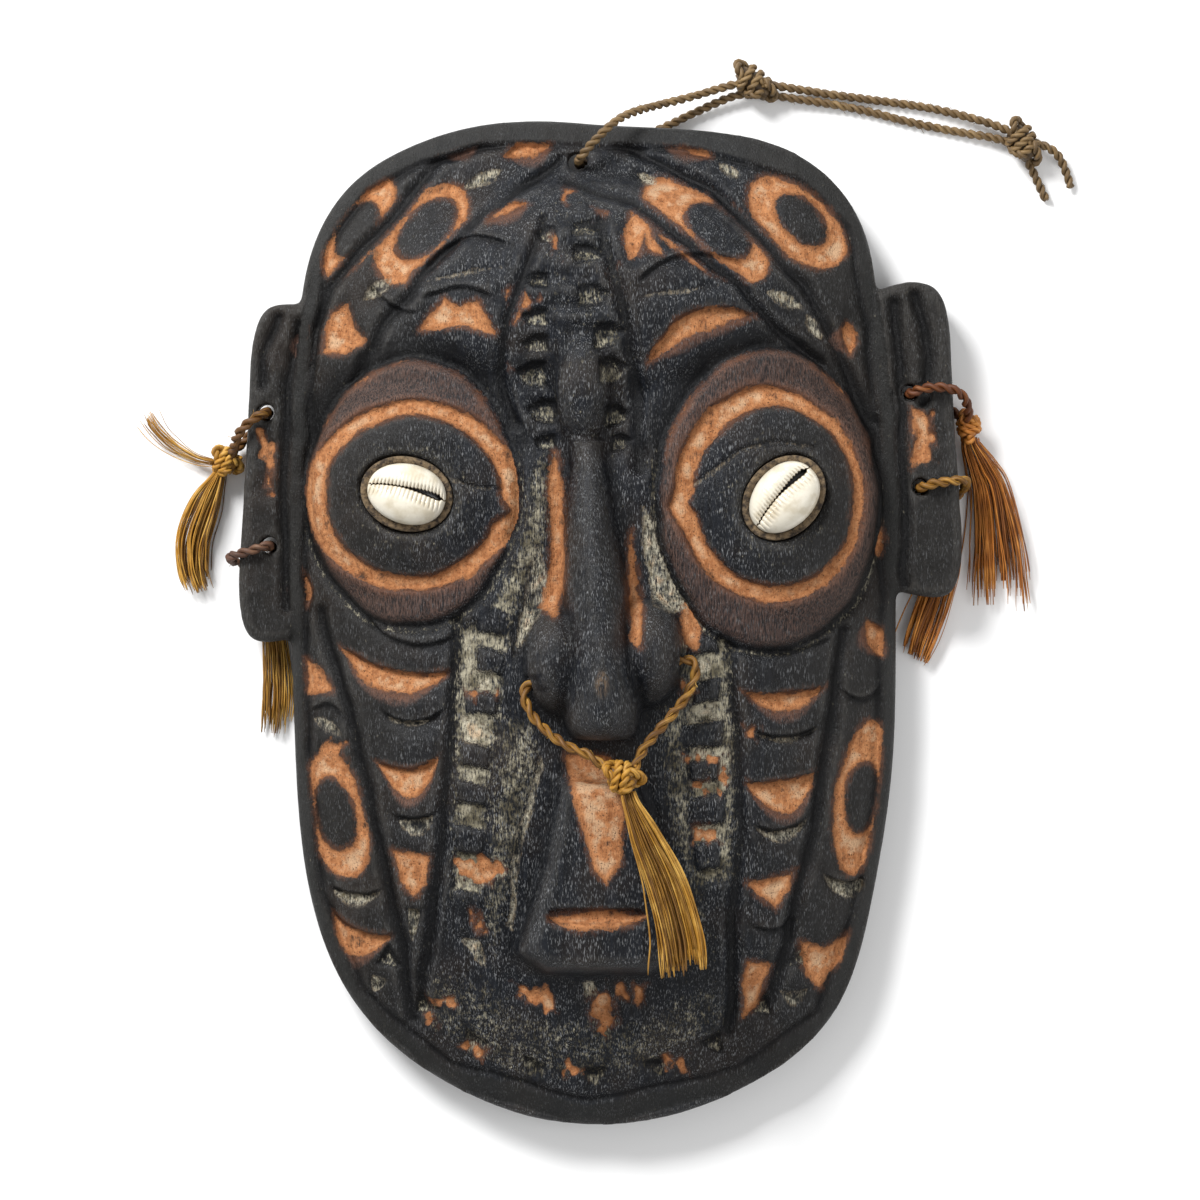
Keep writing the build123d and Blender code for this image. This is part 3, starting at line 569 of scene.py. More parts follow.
# Raised dark blocks of the two columns beside the nose and mouth: (left, right, top, bottom)
LADDER_BLOCKS = [
    (-31.6, -24.4, 3.4, -1.8), (-31.8, -25.0, -7.0, -12.6), (-34.2, -26.2, -18.4, -22.6),
    (-36.0, -28.4, -31.6, -36.4), (-36.8, -29.6, -41.2, -46.0), (-37.8, -30.0, -53.0, -58.6),
    (-38.4, -31.0, -70.0, -74.6),
    (22.6, 30.4, -1.0, -7.2), (24.0, 30.6, -15.0, -20.0), (21.4, 31.4, -26.2, -31.2),
    (23.4, 30.6, -35.6, -40.4), (22.8, 31.6, -45.2, -51.0), (24.8, 30.6, -56.4, -62.8),
]
# Chip-carved pits down both sides of the forehead's middle: (x, y of the inner top, reach, drop)
BROW_CHIPS = [
    (-6.9, 103.6, 6.8, 4.0), (-6.3, 96.8, 7.4, 3.8), (-5.6, 87.0, 7.6, 5.0), (-1.4, 77.2, 7.6, 6.2),
    (-0.2, 68.2, 7.2, 6.2), (1.6, 56.4, 6.4, 5.2), (3.0, 48.2, 5.4, 3.6),
    (-11.6, 102.0, -4.6, 3.6), (-13.6, 90.4, -5.4, 3.8), (-14.0, 80.6, -6.4, 4.4), (-13.6, 73.8, -6.4, 4.0),
    (-14.0, 67.2, -7.4, 5.8), (-11.8, 57.2, -6.8, 5.2), (-11.4, 49.0, -5.4, 3.8),
]

# Strips that keep pale dust: (corners, how much); the first two hold the ladders
DUSTY = [
    ([(-37.0, 0.0), (-25.0, 2.0), (-25.0, -22.0), (-29.0, -46.0), (-31.0, -74.0), (-38.6, -72.0)], 0.9),
    ([(20.6, -4.0), (33.4, -2.0), (34.4, -36.0), (34.0, -66.0), (24.6, -68.0), (22.0, -36.0)], 0.9),
    ([(-33.0, -2.0), (-22.0, 16.0), (-16.4, 44.0), (-13.0, 42.0), (-14.4, 18.0), (-22.6, 0.0),
      (-24.0, -12.0)], 0.8),
    ([(12.4, 42.0), (15.0, 20.0), (22.0, 2.0), (24.0, -8.0), (31.0, 2.0), (24.0, 14.0), (17.0, 36.0)], 0.8),
    ([(-25.0, -22.0), (-16.0, -26.0), (-15.6, -40.0), (-22.0, -64.0), (-27.6, -88.0), (-31.0, -70.0)], 0.6),
    ([(15.6, -22.0), (22.0, -20.0), (24.6, -60.0), (28.6, -86.0), (23.6, -70.0), (17.0, -46.0)], 0.7),
    ([(-44.0, -90.0), (-30.0, -92.0), (-20.0, -102.0), (10.0, -103.0), (30.0, -92.0), (34.0, -104.0),
      (8.0, -118.0), (-24.0, -118.0), (-46.0, -104.0)], 0.42),
    ([(-17.0, 112.0), (10.0, 112.0), (8.0, 60.0), (4.0, 46.0), (-11.0, 46.0), (-16.0, 62.0)], 0.14),
]
# The points that the eyes draw out to, by side: (the ring's, the disc's)
EYE_TIPS = {
    -1: ([(-34.0, 52.0), (-18.6, 27.0), (-34.0, 12.0)], [(-36.0, 46.0), (-24.4, 29.0), (-36.0, 19.0)]),
    1: ([(30.0, 54.0), (18.0, 30.0), (30.0, 12.0)], [(32.0, 46.0), (23.6, 31.0), (32.0, 20.0)]),
}
# Lines cut across the discs of the eyes, by side
EYE_LIDS = {
    -1: [[(-40.0, 37.4), (-33.6, 35.0), (-25.4, 34.6)]],
    1: [[(24.4, 35.8), (30.2, 39.6), (36.2, 44.8), (45.0, 46.6), (55.0, 45.4)]],
}
LOZENGE = ((-4.0, 60.6), (5.4, 15.0), 0)
# The mouth's cut: (start, end, low bow, high bow), and the block that it is cut in
MOUTH = ((-13.6, -75.2), (12.0, -74.8), -3.4, 1.6)
MOUTH_BLOCK = [
    (-13.0, -37.0), (-20.0, -62.0), (-24.0, -84.0), (-15.0, -91.5),
    (14.0, -91.5), (25.0, -85.0), (19.0, -60.0), (12.0, -37.0),
]

# The relief, in millimetres: what is cut back, and what stands proud
PAINT_BACK, PAINT_CROWN = 0.35, 0.16  # under the paint: at its edge, and more for each millimetre inwards
CHIP_BACK, CHIP_CROWN = 0.7, 0.5
GROOVE_BACK, GROOVE_LIP = 1.25, 0.22
PILLOW, PILLOW_REACH, PILLOW_DROP = 0.9, 3.2, 0.2  # the wood between cuts is rounded
KNOB_LOW, KNOB_HIGH, KNOB_PITCH = 0.5, 0.7, 7.6
RUNG_PROUD, LADDER_BACK = 1.5, 1.0
BAND_PROUD, RING_BACK, DISC_PROUD, DISC_DISH = 1.6, 1.7, 1.5, 0.7
EYE_GROOVE, EYE_SCOOP, LID_CUT = 1.3, 0.8, 0.8
RIM_LINE, RIM_DROP = 0.9, 0.45
RIM_WIDTH, RIM_WIDER = 2.5, 2.6  # wider at the forehead and the chin
FADED_BELOW = 3.2  # how far faded ochre reaches below a crescent
UNDERCUT = 1.6  # how far below its upper edge a chip is in shade


def ladder_rungs():
    """The blocks of both columns as slightly leaning polygons."""
    rungs = []
    for left, right, top, bottom in LADDER_BLOCKS:
        lean = 0.9 if left > 0 else -0.9
        rungs.append([
            (left, top - lean), ((left + right) / 2, top + 0.4), (right, top + lean),
            (right - 0.3, bottom + 0.5 * lean), (left + 0.4, bottom - 0.5 * lean),
        ])
    return rungs


def brow_teeth():
    """The pits of the forehead as blunt triangles that narrow outwards."""
    teeth = []
    for x, y, reach, drop in BROW_CHIPS:
        shoulder, tip = (x + 0.5 * reach, y + 0.3), (x + reach, y - 0.35 * drop)
        teeth.append([(x, y), shoulder, tip, (x + 0.7 * reach, y - 0.9 * drop), (x, y - drop)])
    return teeth


def chin_teeth():
    """A row of small triangles round the chin, pointing down: every second one of a full row."""
    teeth = []
    count, first, spread = 17, -152, 124
    middle, half = np.array([HEAD_OFFSET, -60.0]), np.array([61.0, 58.0])
    for k in range(0, count, 2):
        a = math.radians(first + spread * k / (count - 1))
        out = np.array([math.cos(a), math.sin(a)])
        place = middle + half * out
        side = np.array([-out[1], out[0]]) * 3.1
        tip, base = place + out * 2.6, place - out * 2.4
        teeth.append([base + side, base - side, tip])
    return teeth


# ---------------------------------------------------------------- grids over the face
class Grid:
    """A square grid over the face, in millimetres, for fields that are sampled between its points."""

    def __init__(self, low, high, pitch):
        self.low, self.pitch = low, pitch
        self.xs = np.arange(low[0], high[0], pitch)
        self.ys = np.arange(low[1], high[1], pitch)
        self.x, self.y = np.meshgrid(self.xs, self.ys, indexing="ij")

    def far(self):
        """A field of distances with no shape near."""
        return np.full(self.x.shape, FAR)

    def above(self, field, reach):
        """The field as it is reach higher up the face."""
        return np.roll(field, -int(reach / self.pitch), axis=1)

    def sample(self, field, x, y):
        u = np.clip((x - self.low[0]) / self.pitch, 0, len(self.xs) - 1.001)
        v = np.clip((y - self.low[1]) / self.pitch, 0, len(self.ys) - 1.001)
        i, j = u.astype(int), v.astype(int)
        a, b = u - i, v - j
        near = field[i, j] * (1 - a) + field[i + 1, j] * a
        far = field[i, j + 1] * (1 - a) + field[i + 1, j + 1] * a
        return near * (1 - b) + far * b

    def blur(self, field, reach):
        """Gaussian blur; reach is its standard deviation in millimetres."""
        taps = int(3 * reach / self.pitch) + 1
        weights = np.exp(-0.5 * (np.arange(-taps, taps + 1) * self.pitch / reach) ** 2)
        weights /= weights.sum()
        for axis in (0, 1):
            padded = np.pad(field, [(taps, taps) if k == axis else (0, 0) for k in (0, 1)], mode="edge")
            count = field.shape[axis]
            field = sum(w * np.take(padded, range(k, k + count), axis) for k, w in enumerate(weights))
        return field

    def scatter(self, x, y, values):
        """The mean of the values that fall near each point, spread into the empty places."""
        i = np.clip(np.rint((x - self.low[0]) / self.pitch).astype(int), 0, len(self.xs) - 1)
        j = np.clip(np.rint((y - self.low[1]) / self.pitch).astype(int), 0, len(self.ys) - 1)
        flat = i * len(self.ys) + j
        count = np.bincount(flat, minlength=self.x.size).reshape(self.x.shape).astype(float)
        total = np.bincount(flat, values, minlength=self.x.size).reshape(self.x.shape)
        spread = self.blur(count, self.pitch)
        return self.blur(total, self.pitch) / np.maximum(spread, 1e-6), spread > 0.02

    def join(self, field, outline, measure):
        """Lowers field to a shape's signed distance, worked out in the window round its outline."""
        outline = np.array(outline, float)
        low, high = outline.min(0) - FAR, outline.max(0) + FAR
        i = slice(*np.searchsorted(self.xs, (low[0], high[0])))
        j = slice(*np.searchsorted(self.ys, (low[1], high[1])))
        field[i, j] = np.minimum(field[i, j], measure(self.wx[i, j], self.wy[i, j]))

    def polygons(self, field, rows):
        for corners in rows:
            self.join(field, corners, lambda x, y: polygon(x, y, corners))

    def crescents(self, field, rows, drop=0.0):
        """Crescents, or with a drop the bands of that height under them."""
        for start, end, low, high in rows:
            reach = max(abs(low), abs(high)) + drop
            outline = np.vstack([np.array([start, end]) - reach, np.array([start, end]) + reach])
            top = low if drop else high
            self.join(field, outline, lambda x, y: crescent(x, y, start, end, low - drop, top))

    def waver(self, amount, size):
        """Bends the coordinates that shapes are measured in, so that no cut is perfectly true."""
        bends = rng.uniform(-1, 1, (2, 64, 64))
        self.wx = self.x + amount * sampled(bends[0], self.x / size + 40, self.y / size + 40)
        self.wy = self.y + amount * sampled(bends[1], self.x / size + 40, self.y / size + 40)


def around(centre, half):
    """Corners that hold an oval at any turn."""
    reach = max(half)
    return [(centre[0] - reach, centre[1] - reach), (centre[0] + reach, centre[1] + reach)]


class Carving:
    """The relief's height, its painted shade and its dust, and the signed distances to its paint, on a grid.
    """

    def __init__(self, grid):
        self.grid, self.x, self.y = grid, grid.wx, grid.wy
        self.wear = rng.uniform(-1, 1, (64, 64))
        self.height, self.deep, self.dust = (np.zeros(grid.x.shape) for _ in range(3))
        self.ochre, self.cream, self.chips, self.lines, self.band = (grid.far() for _ in range(5))
        self.shapes()
        self.scales()
        self.cuts()
        self.ladders()
        for side, (brow, ring, disc) in zip((-1, 1), EYES):
            self.eye(brow, ring, disc, *EYE_TIPS[side], EYE_LIDS[side])
        self.mouth()
        self.rim_and_marks()

    # deep holds painted shade: darkness laid where shade falls, in grooves, hollows and under edges
    def add_painted_shade(self, shade):
        self.deep = np.maximum(self.deep, shade)

    def shapes(self):
        """The distances to the painted shapes, the chips and the cut lines."""
        grid = self.grid
        grid.crescents(self.ochre, OCHRE_CRESCENTS)
        grid.polygons(self.ochre, OCHRE_POLYGONS)
        grid.crescents(self.cream, CREAM_CRESCENTS)
        grid.polygons(self.cream, CREAM_POLYGONS)
        grid.crescents(self.band, OCHRE_CRESCENTS, FADED_BELOW)
        grid.polygons(self.chips, brow_teeth() + chin_teeth())
        for route, half in GROOVES:
            grid.join(self.lines, route, lambda x, y: stroke(x, y, route, half))
        for centre, half, turn, core, core_half, core_turn in RINGS:
            def ring(x, y):
                inner = oval(x, y, core, core_half, core_turn)
                return np.maximum(oval(x, y, centre, half, turn), 0.7 - inner)
            grid.join(self.ochre, around(centre, half), ring)
        worn = grid.far()
        grid.polygons(worn, OCHRE_WORN)
        ragged = sampled(self.wear, grid.x / 1.4 + 128, grid.y / 2.2 + 128)
        ochre = np.minimum(self.ochre, worn + 0.7 + 1.7 * ragged)
        self.ochre = np.maximum(ochre, 1.7 - self.lines)
        self.cream = np.maximum(self.cream, 1.2 - self.lines)

    def scales(self):
        """Scales, proud along their lower edge: a sharp step, then a slow rise to the next, with painted
        shade under each step.
        """
        rows = [(start, end, high) for start, end, _, high in OCHRE_CRESCENTS] + PLAIN_SCALES
        for start, end, bow in rows:
            relief, shade = scale_edge(self.x, self.y, start, end, bow)
            self.height += relief
            self.add_painted_shade(shade)

    def cuts(self):
        """Paint cut back, chips, grooves, the rounded wood between them, and the forehead's knobs, with
        painted shade in the grooves and the chips.
        """
        chips, lines = self.chips, self.lines
        recess = np.minimum(self.ochre, self.cream)
        back = PAINT_BACK + PAINT_CROWN * np.clip(-recess, 0, 3.0)
        self.height -= back * (1 - smooth_step(recess, -0.7, 0.4))
        back = CHIP_BACK + CHIP_CROWN * np.clip(-chips, 0, 1.8)
        self.height -= back * (1 - smooth_step(chips, -0.4, 0.4))
        self.height -= GROOVE_BACK * (1 - smooth_step(lines, -0.7, 2.0))
        self.height += GROOVE_LIP * np.exp(-((lines - 2.4) / 0.9) ** 2)
        pillow = np.maximum(np.minimum(np.minimum(recess, chips), lines), 0)
        self.height += PILLOW * (1 - np.exp(-pillow / PILLOW_REACH)) - PILLOW_DROP
        # painted shade along the grooves, and in each chip but its lowest part
        self.add_painted_shade(0.75 * (1 - smooth_step(lines, -0.3, 1.3)))
        low = 1 - smooth_step(self.grid.above(chips, UNDERCUT), -0.6, 0.4)
        self.low_in_chip = (1 - smooth_step(chips, -0.6, 0.2)) * low
        self.add_painted_shade(0.9 * (1 - smooth_step(chips, -0.3, 0.7)) * (1 - self.low_in_chip))

        beside = np.exp(-((self.x + 6.6 + 0.06 * (90 - self.y)) / 6.0) ** 2)
        knobs = beside * smooth_step(self.y, 74.0, 80.0) * (1 - smooth_step(self.y, 104.0, 110.0))
        self.height += knobs * (KNOB_LOW + KNOB_HIGH * np.sin(self.y * 2 * math.pi / KNOB_PITCH))

    def ladders(self):
        """The dark blocks that stand up out of a dusty strip on each side of the nose."""
        for corners, strength in DUSTY:
            strip = self.grid.far()
            self.grid.polygons(strip, [corners])
            self.dust = np.maximum(self.dust, strength * smooth_step(-strip, -2.5, 3.5))
        squares = self.grid.far()
        self.grid.polygons(squares, ladder_rungs())
        strips = np.minimum(*(polygon(self.x, self.y, corners) for corners, _ in DUSTY[:2]))
        on_ladder = smooth_step(-strips, -1.5, 1.5)
        rungs = RUNG_PROUD * (1 - smooth_step(squares, -0.9, 0.9)) - LADDER_BACK
        self.height = self.height * (1 - on_ladder) + (rungs + 0.35 * self.height) * on_ladder
        self.dust *= 0.12 + 0.88 * smooth_step(squares, -0.6, 1.0)
        self.dust = np.maximum(self.dust, 0.62 * self.low_in_chip)
        # painted shadow on the strip just under each block
        shade = 1 - smooth_step(self.grid.above(squares, UNDERCUT), -0.6, 0.6)
        self.add_painted_shade(0.6 * on_ladder * shade * smooth_step(squares, 0.0, 0.8))

    def eye(self, brow, ring, disc, ring_tip, disc_tip, lids):
        """A raised band, a painted ring cut back, and a disc dished round its shell, with painted shade round
        them.
        """
        grid, x, y = self.grid, self.x, self.y
        edge = oval(x, y, *brow)
        outer = np.minimum(oval(x, y, *ring), polygon(x, y, ring_tip, 2.0))
        inner = np.minimum(oval(x, y, *disc), polygon(x, y, disc_tip, 2.0))
        upper = smooth_step(y, brow[0][1] + 4, brow[0][1] + 16)
        edge_line = np.abs(edge + 1.3) - 0.5 * upper
        edge_line = edge_line + 0.7 * sampled(self.wear, grid.x / 3.1 + 64, grid.y / 3.1 + 64)
        paint = np.minimum(np.maximum(outer, -inner), np.where(upper > 0.3, edge_line + 0.8, FAR))
        self.ochre = np.where(edge < 0, paint, self.ochre)
        self.cream = np.where(edge < 0, FAR, self.cream)
        self.band = np.where(edge < 0.6, np.maximum(edge + 1.2, -outer), self.band)
        swell = BAND_PROUD * smooth_step(-edge, -0.6, 3.4) - RING_BACK * smooth_step(-outer, -0.8, 1.0)
        swell += DISC_PROUD * smooth_step(-inner, -0.8, 1.0) - DISC_DISH * smooth_step(-inner, 3.0, 14.0)
        for lid in lids:
            swell -= LID_CUT * (1 - smooth_step(stroke(x, y, lid, 0.7, 0.3), -0.5, 0.8))
            self.cream = np.minimum(self.cream, stroke(x, y, lid, 0.4, 0.0))
        self.height = np.where(edge < 0, swell, self.height)
        self.height -= EYE_GROOVE * np.exp(-((edge - 0.4) / 1.3) ** 2)
        scoop = np.exp(-((edge - 2.6) / 2.6) ** 2) * upper
        self.height -= EYE_SCOOP * scoop
        # painted shadow in the scoop under the brow, painted shade in the groove round the band and along the
        # ring's cut edge
        self.add_painted_shade(0.85 * scoop)
        self.add_painted_shade(0.6 * np.exp(-((edge - 0.4) / 1.0) ** 2))
        ring_edge = 0.5 * (1 - smooth_step(np.abs(outer), 0.3, 1.2)) * (1 - upper)
        self.deep = np.where(edge < -1.0, ring_edge, self.deep)
        self.dust = np.where(edge < 0, 0.0, self.dust)
        self.dust = np.maximum(self.dust, 0.5 * np.exp(-((edge - 0.9) / 0.7) ** 2) * (1 - upper))
        self.dust = np.maximum(self.dust, 0.22 * smooth_step(-inner, 3.0, 8.0))

    def mouth(self):
        """The mouth, and smooth wood on its block and on the lozenge above the nose."""
        self.ochre = np.minimum(self.ochre, crescent(self.x, self.y, *MOUTH))
        on_lozenge = smooth_step(-oval(self.x, self.y, *LOZENGE), 0, 1.5)
        self.height *= 1 - 0.85 * on_lozenge
        on_block = smooth_step(-polygon(self.x, self.y, MOUTH_BLOCK), -0.5, 1.5)
        self.height *= 1 - 0.8 * on_block
        self.dust *= 1 - 0.85 * on_block

    def rim_and_marks(self):
        """A plain rim inside the head's outline, then the marks of the tool and the grain."""
        grid = self.grid
        inside = -polygon(self.x, self.y, HEAD, 0)
        width = RIM_WIDTH + RIM_WIDER * smooth_step(np.abs(grid.y), 96, 129)
        on_head = inside > -0.5
        self.rim = np.where(on_head, 1 - smooth_step(inside, width - 0.5, width + 0.5), 0)
        step = np.where(on_head, smooth_step(inside, width - 0.3, width + 1.6), 1)
        gully = RIM_LINE * np.exp(-((inside - width - 1.3) / 1.1) ** 2)
        self.height = self.height * step - RIM_DROP * step * on_head - gully
        # painted shade in the gully inside the rim
        self.deep = np.maximum(self.deep * step, 0.7 * gully)
        self.dust *= step
        for field in (self.ochre, self.cream, self.band):
            np.maximum(field, np.where(on_head, width + 0.6 - inside, -FAR), out=field)
        marks = rng.uniform(-1, 1, (3, 128, 128))
        self.height += 0.10 * sampled(marks[0], grid.x / 1.3 + 80, grid.y / 7.0 + 80)
        self.height += 0.20 * sampled(marks[1], grid.x / 3.6 + 80, grid.y / 4.4 + 80)
        self.height += 0.05 * sampled(marks[2], grid.x / 0.8 + 120, grid.y / 1.1 + 120)


# ---------------------------------------------------------------- meshes
def new_piece(name, vertices, faces, material, body, slot, *replaced):
    """A smooth mesh object from millimetres, riding on its body."""
    mesh = bpy.data.meshes.new(name)
    mesh.from_pydata((np.asarray(vertices) * MM).tolist(), [], faces)
    mesh.validate()
    return settle(bpy.data.objects.new(name, mesh), material, body, slot, *replaced)


def settle(piece, material, body, slot, *replaced):
    """Links a piece with its material, and ties it to the frame."""
    bpy.context.collection.objects.link(piece)
    piece.data.materials.clear()
    piece.data.materials.append(material)
    piece.data.shade_smooth()
    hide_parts(*replaced)
    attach(piece, body)
    return piece


def box_of(node):
    """The low and high corners of a CAD node in millimetres."""
    return [np.array(corner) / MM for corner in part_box(node)]


def rows_of(items, name, width, kind):
    """One number row for each vertex or edge."""
    flat = np.empty(len(items) * width, kind)
    items.foreach_get(name, flat)
    return flat.reshape(-1, width)


def coordinates(mesh):
    """A mesh's vertices in millimetres."""
    return rows_of(mesh.vertices, "co", 3, np.float32).astype(float) / MM


def place_vertices(mesh, points):
    mesh.vertices.foreach_set("co", (points * MM).astype(np.float32).ravel())
    mesh.update()


def normals_of(mesh):
    return rows_of(mesh.vertices, "normal", 3, np.float32).astype(float)


def evaluated(name, source, *modifiers):
    """A new mesh from source, with modifiers given as (kind, settings) applied."""
    holder = bpy.data.objects.new(name, source)
    bpy.context.collection.objects.link(holder)
    for kind, settings in modifiers:
        modifier = holder.modifiers.new(kind.lower(), kind)
        for key, value in settings.items():
            setattr(modifier, key, value)
    bpy.context.view_layer.update()
    result = bpy.data.meshes.new_from_object(holder.evaluated_get(bpy.context.evaluated_depsgraph_get()))
    bpy.data.objects.remove(holder)
    return result


def smoothed(points, edges, amount, rounds):
    """Each point drawn towards the mean of its neighbours, by its own amount."""
    count = len(points)
    a, b = np.concatenate([edges, edges[:, ::-1]]).T
    degree = np.maximum(np.bincount(a, minlength=count), 1)
    for _ in range(rounds):
        mean = np.stack([np.bincount(a, points[b, k], minlength=count) / degree for k in range(3)], 1)
        points = points + amount[:, None] * (mean - points)
    return points


def edges_of(mesh):
    return rows_of(mesh.edges, "vertices", 2, np.int32)


def remeshed(name, node, voxel):
    """A CAD node's shape as an even mesh."""
    settings = {"mode": "VOXEL", "voxel_size": voxel * MM}
    return evaluated(name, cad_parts[node].data.copy(), ("REMESH", settings))


def run_along(points):
    """How far along a line each of its points is."""
    return np.concatenate([[0], np.cumsum(np.linalg.norm(np.diff(points, axis=0), axis=1))])


def set_attribute(mesh, name, values):
    layer = mesh.attributes.new(name, "FLOAT", "POINT")
    layer.data.foreach_set("value", np.ascontiguousarray(values, np.float32))


VOXEL = 0.55
SMOOTHING_ROUNDS = 26
CARVING_PITCH, CARVING_MARGIN = 0.4, 4
WAVER, WAVER_SIZE = 0.55, 7.0
GOUGE = 0.45  # how deep the gouge marks in the back are
MOST_TRIANGLES = 190000
SURFACE_START = 0.15  # a normal's z above which a place belongs to the carved front
FRONT_START = 7  # the height above which a place can be painted
EAR_START = 79.5  # how far out from the head's middle line the ears start
NOSE_BORE = (2.2, -12.0, 35.0)
NOSE_BORE_REACH = (15, 5.5, 2.6)
WORN_PLACE, WORN_SIZE, WORN_HEIGHT = (0.4, -15.0), (3.4, 6.5), 45  # the rubbed tip of the nose


def plain_wood():
    """The CAD's plain body as an even mesh with its edges rounded over, and its points."""
    mesh = remeshed("mask_remesh", "mask_body", VOXEL)
    points = coordinates(mesh)
    x, _, z = points.T
    soften = np.full(len(points), 0.5)
    soften *= smooth_step(z, 0.3, 3.0)
    soften *= 1 - 0.75 * smooth_step(np.abs(x - HEAD_OFFSET), EAR_START, EAR_START + 2.5)
    soften *= 1 - 0.6 * (np.abs(x) < 30) * smooth_step(z, 33.0, 38.0)
    points = smoothed(points, edges_of(mesh), soften, SMOOTHING_ROUNDS)
    place_vertices(mesh, points)
    return mesh, points


def cut_relief(mesh, points, grid, carved):
    """Moves the front by the carving's height and the back by gouge marks, and gives the new points."""
    normals = normals_of(mesh)
    x, y, z = points.T
    front = smooth_step(normals[:, 2], SURFACE_START, SURFACE_START + 0.35) * smooth_step(z, 6.0, 9.0)
    shell_zone = np.ones(len(points))
    for side in ("left", "right"):
        low, high = box_of(f"{side}_putty")
        (u, v, _), (long, wide, _) = (low + high) / 2, high - low
        shell_zone *= smooth_step(np.hypot((x - u) / long, (y - v) / wide), 0.5, 0.6)
    push = grid.sample(carved.height, x, y) * front * shell_zone
    gouges = rng.uniform(-1, 1, (64, 64))
    back = (normals[:, 2] < -0.1) & (z > 1.5)
    push += np.where(back, GOUGE * sampled(gouges, x / 7.0 + 40, y / 12.0 + 40), 0)
    points = points + normals * (0.4, 0.4, 1.0) * push[:, None]
    points[:, 2] = np.maximum(points[:, 2], 0.0)
    place_vertices(mesh, points)
    return points


def standing_out(mesh, points, grid, floor):
    """How much each place on the grid stands out from or lies below what is round it."""
    normals = normals_of(mesh)
    x, y, z = points.T
    seen = (normals[:, 2] > 0.1) & (z > 5.0)
    rough, _ = grid.scatter(x[seen], y[seen], z[seen])
    rough = grid.blur(rough, 1.5)
    seen &= z > grid.sample(rough, x, y) - 5.0
    away = np.abs(points - NOSE_BORE)
    seen &= ~((away < NOSE_BORE_REACH).all(axis=1) & (normals[:, 2] > 0))
    surface, known = grid.scatter(x[seen], y[seen], z[seen])
    surface = np.where(known, surface, floor)
    return 2.4 * (surface - grid.blur(surface, 0.9)) + 0.5 * (surface - grid.blur(surface, 2.0))


def mask_piece():
    """The carved and painted wood, cut into the CAD's plain body."""
    low, high = box_of("mask_body")
    mesh, points = plain_wood()
    grid = Grid(low[:2] - CARVING_MARGIN, high[:2] + CARVING_MARGIN, CARVING_PITCH)
    grid.waver(WAVER, WAVER_SIZE)
    carved = Carving(grid)
    points = cut_relief(mesh, points, grid, carved)
    proud = standing_out(mesh, points, grid, low[2])

    keep = min(1.0, MOST_TRIANGLES / (2 * len(mesh.polygons)))
    mesh = evaluated("mask_decimate", mesh, ("DECIMATE", {"ratio": keep, "use_collapse_triangulate": True}))
    x, y, z = coordinates(mesh).T
    facing = normals_of(mesh)[:, 2] > 0.02
    painted = facing & (z > FRONT_START)
    # the paint and dust are the carving's own; deep is its painted shade
    for name, elsewhere in (("ochre", FAR), ("cream", FAR), ("band", FAR), ("dust", 0.12), ("deep", 0.0)):
        set_attribute(mesh, name, np.where(painted, grid.sample(getattr(carved, name), x, y), elsewhere))
    set_attribute(mesh, "rim", np.where(facing, grid.sample(carved.rim, x, y), 0.4 * (z > 0.5)))
    # how far each place stands proud: a painted highlight, with wear at the nose's tip, where it stands out,
    # and painted shade where it lies sunk
    stand = 1.1 * grid.sample(proud, x, y)
    u, v = (x - WORN_PLACE[0]) / WORN_SIZE[0], (y - WORN_PLACE[1]) / WORN_SIZE[1]
    worn_nose = np.exp(-u**2 - v**2) * (z > WORN_HEIGHT)
    wear_and_highlight = np.maximum(np.clip(stand, 0, 1), 1.6 * worn_nose)
    set_attribute(mesh, "wear_and_highlight", np.where(facing, wear_and_highlight, 0.1))
    set_attribute(mesh, "hollow_shade", np.where(facing, np.clip(-stand, 0, 1), 0.0))
    mesh.name = "carved_wood"
    piece = bpy.data.objects.new("carved_wood", mesh)
    return settle(piece, wood_material(), "mask", "carved_wood", "mask_body")


# ---------------------------------------------------------------- strands
def line_of(name, route):
    """The smooth line of a route given in millimetres, as the points of its NURBS spline."""
    data = bpy.data.curves.new(name, "CURVE")
    data.dimensions = "3D"
    data.resolution_u = 16
    spline = data.splines.new("NURBS")
    spline.points.add(len(route) - 1)
    for point, place in zip(spline.points, route):
        point.co = (*(MM * v for v in place), 1)
    spline.order_u = 3
    spline.use_endpoint_u = True
    holder = bpy.data.objects.new(name, data)
    bpy.context.collection.objects.link(holder)
    mesh = bpy.data.meshes.new_from_object(holder)
    points = coordinates(mesh)
    bpy.data.objects.remove(holder)
    return points


def spaced(points, step):
    """The same line with points an even step apart."""
    points = np.asarray(points, float)
    run = run_along(points)
    count = max(int(run[-1] / step), 3)
    at = np.linspace(0, run[-1], count + 1)
    return np.stack([np.interp(at, run, points[:, k]) for k in range(3)], 1), at


def frames_along(points):
    """Two directions square to the line at each point, turning as little as they can."""
    tangents = np.gradient(points, axis=0)
    tangents /= np.maximum(np.linalg.norm(tangents, axis=1), 1e-9)[:, None]
    side = np.cross(tangents[0], (0.3, 0.2, 1.0))
    sides = []
    for t in tangents:
        side = side - t * side.dot(t)
        side /= max(np.linalg.norm(side), 1e-9)
        sides.append(side)
    sides = np.array(sides)
    return sides, np.cross(tangents, sides)


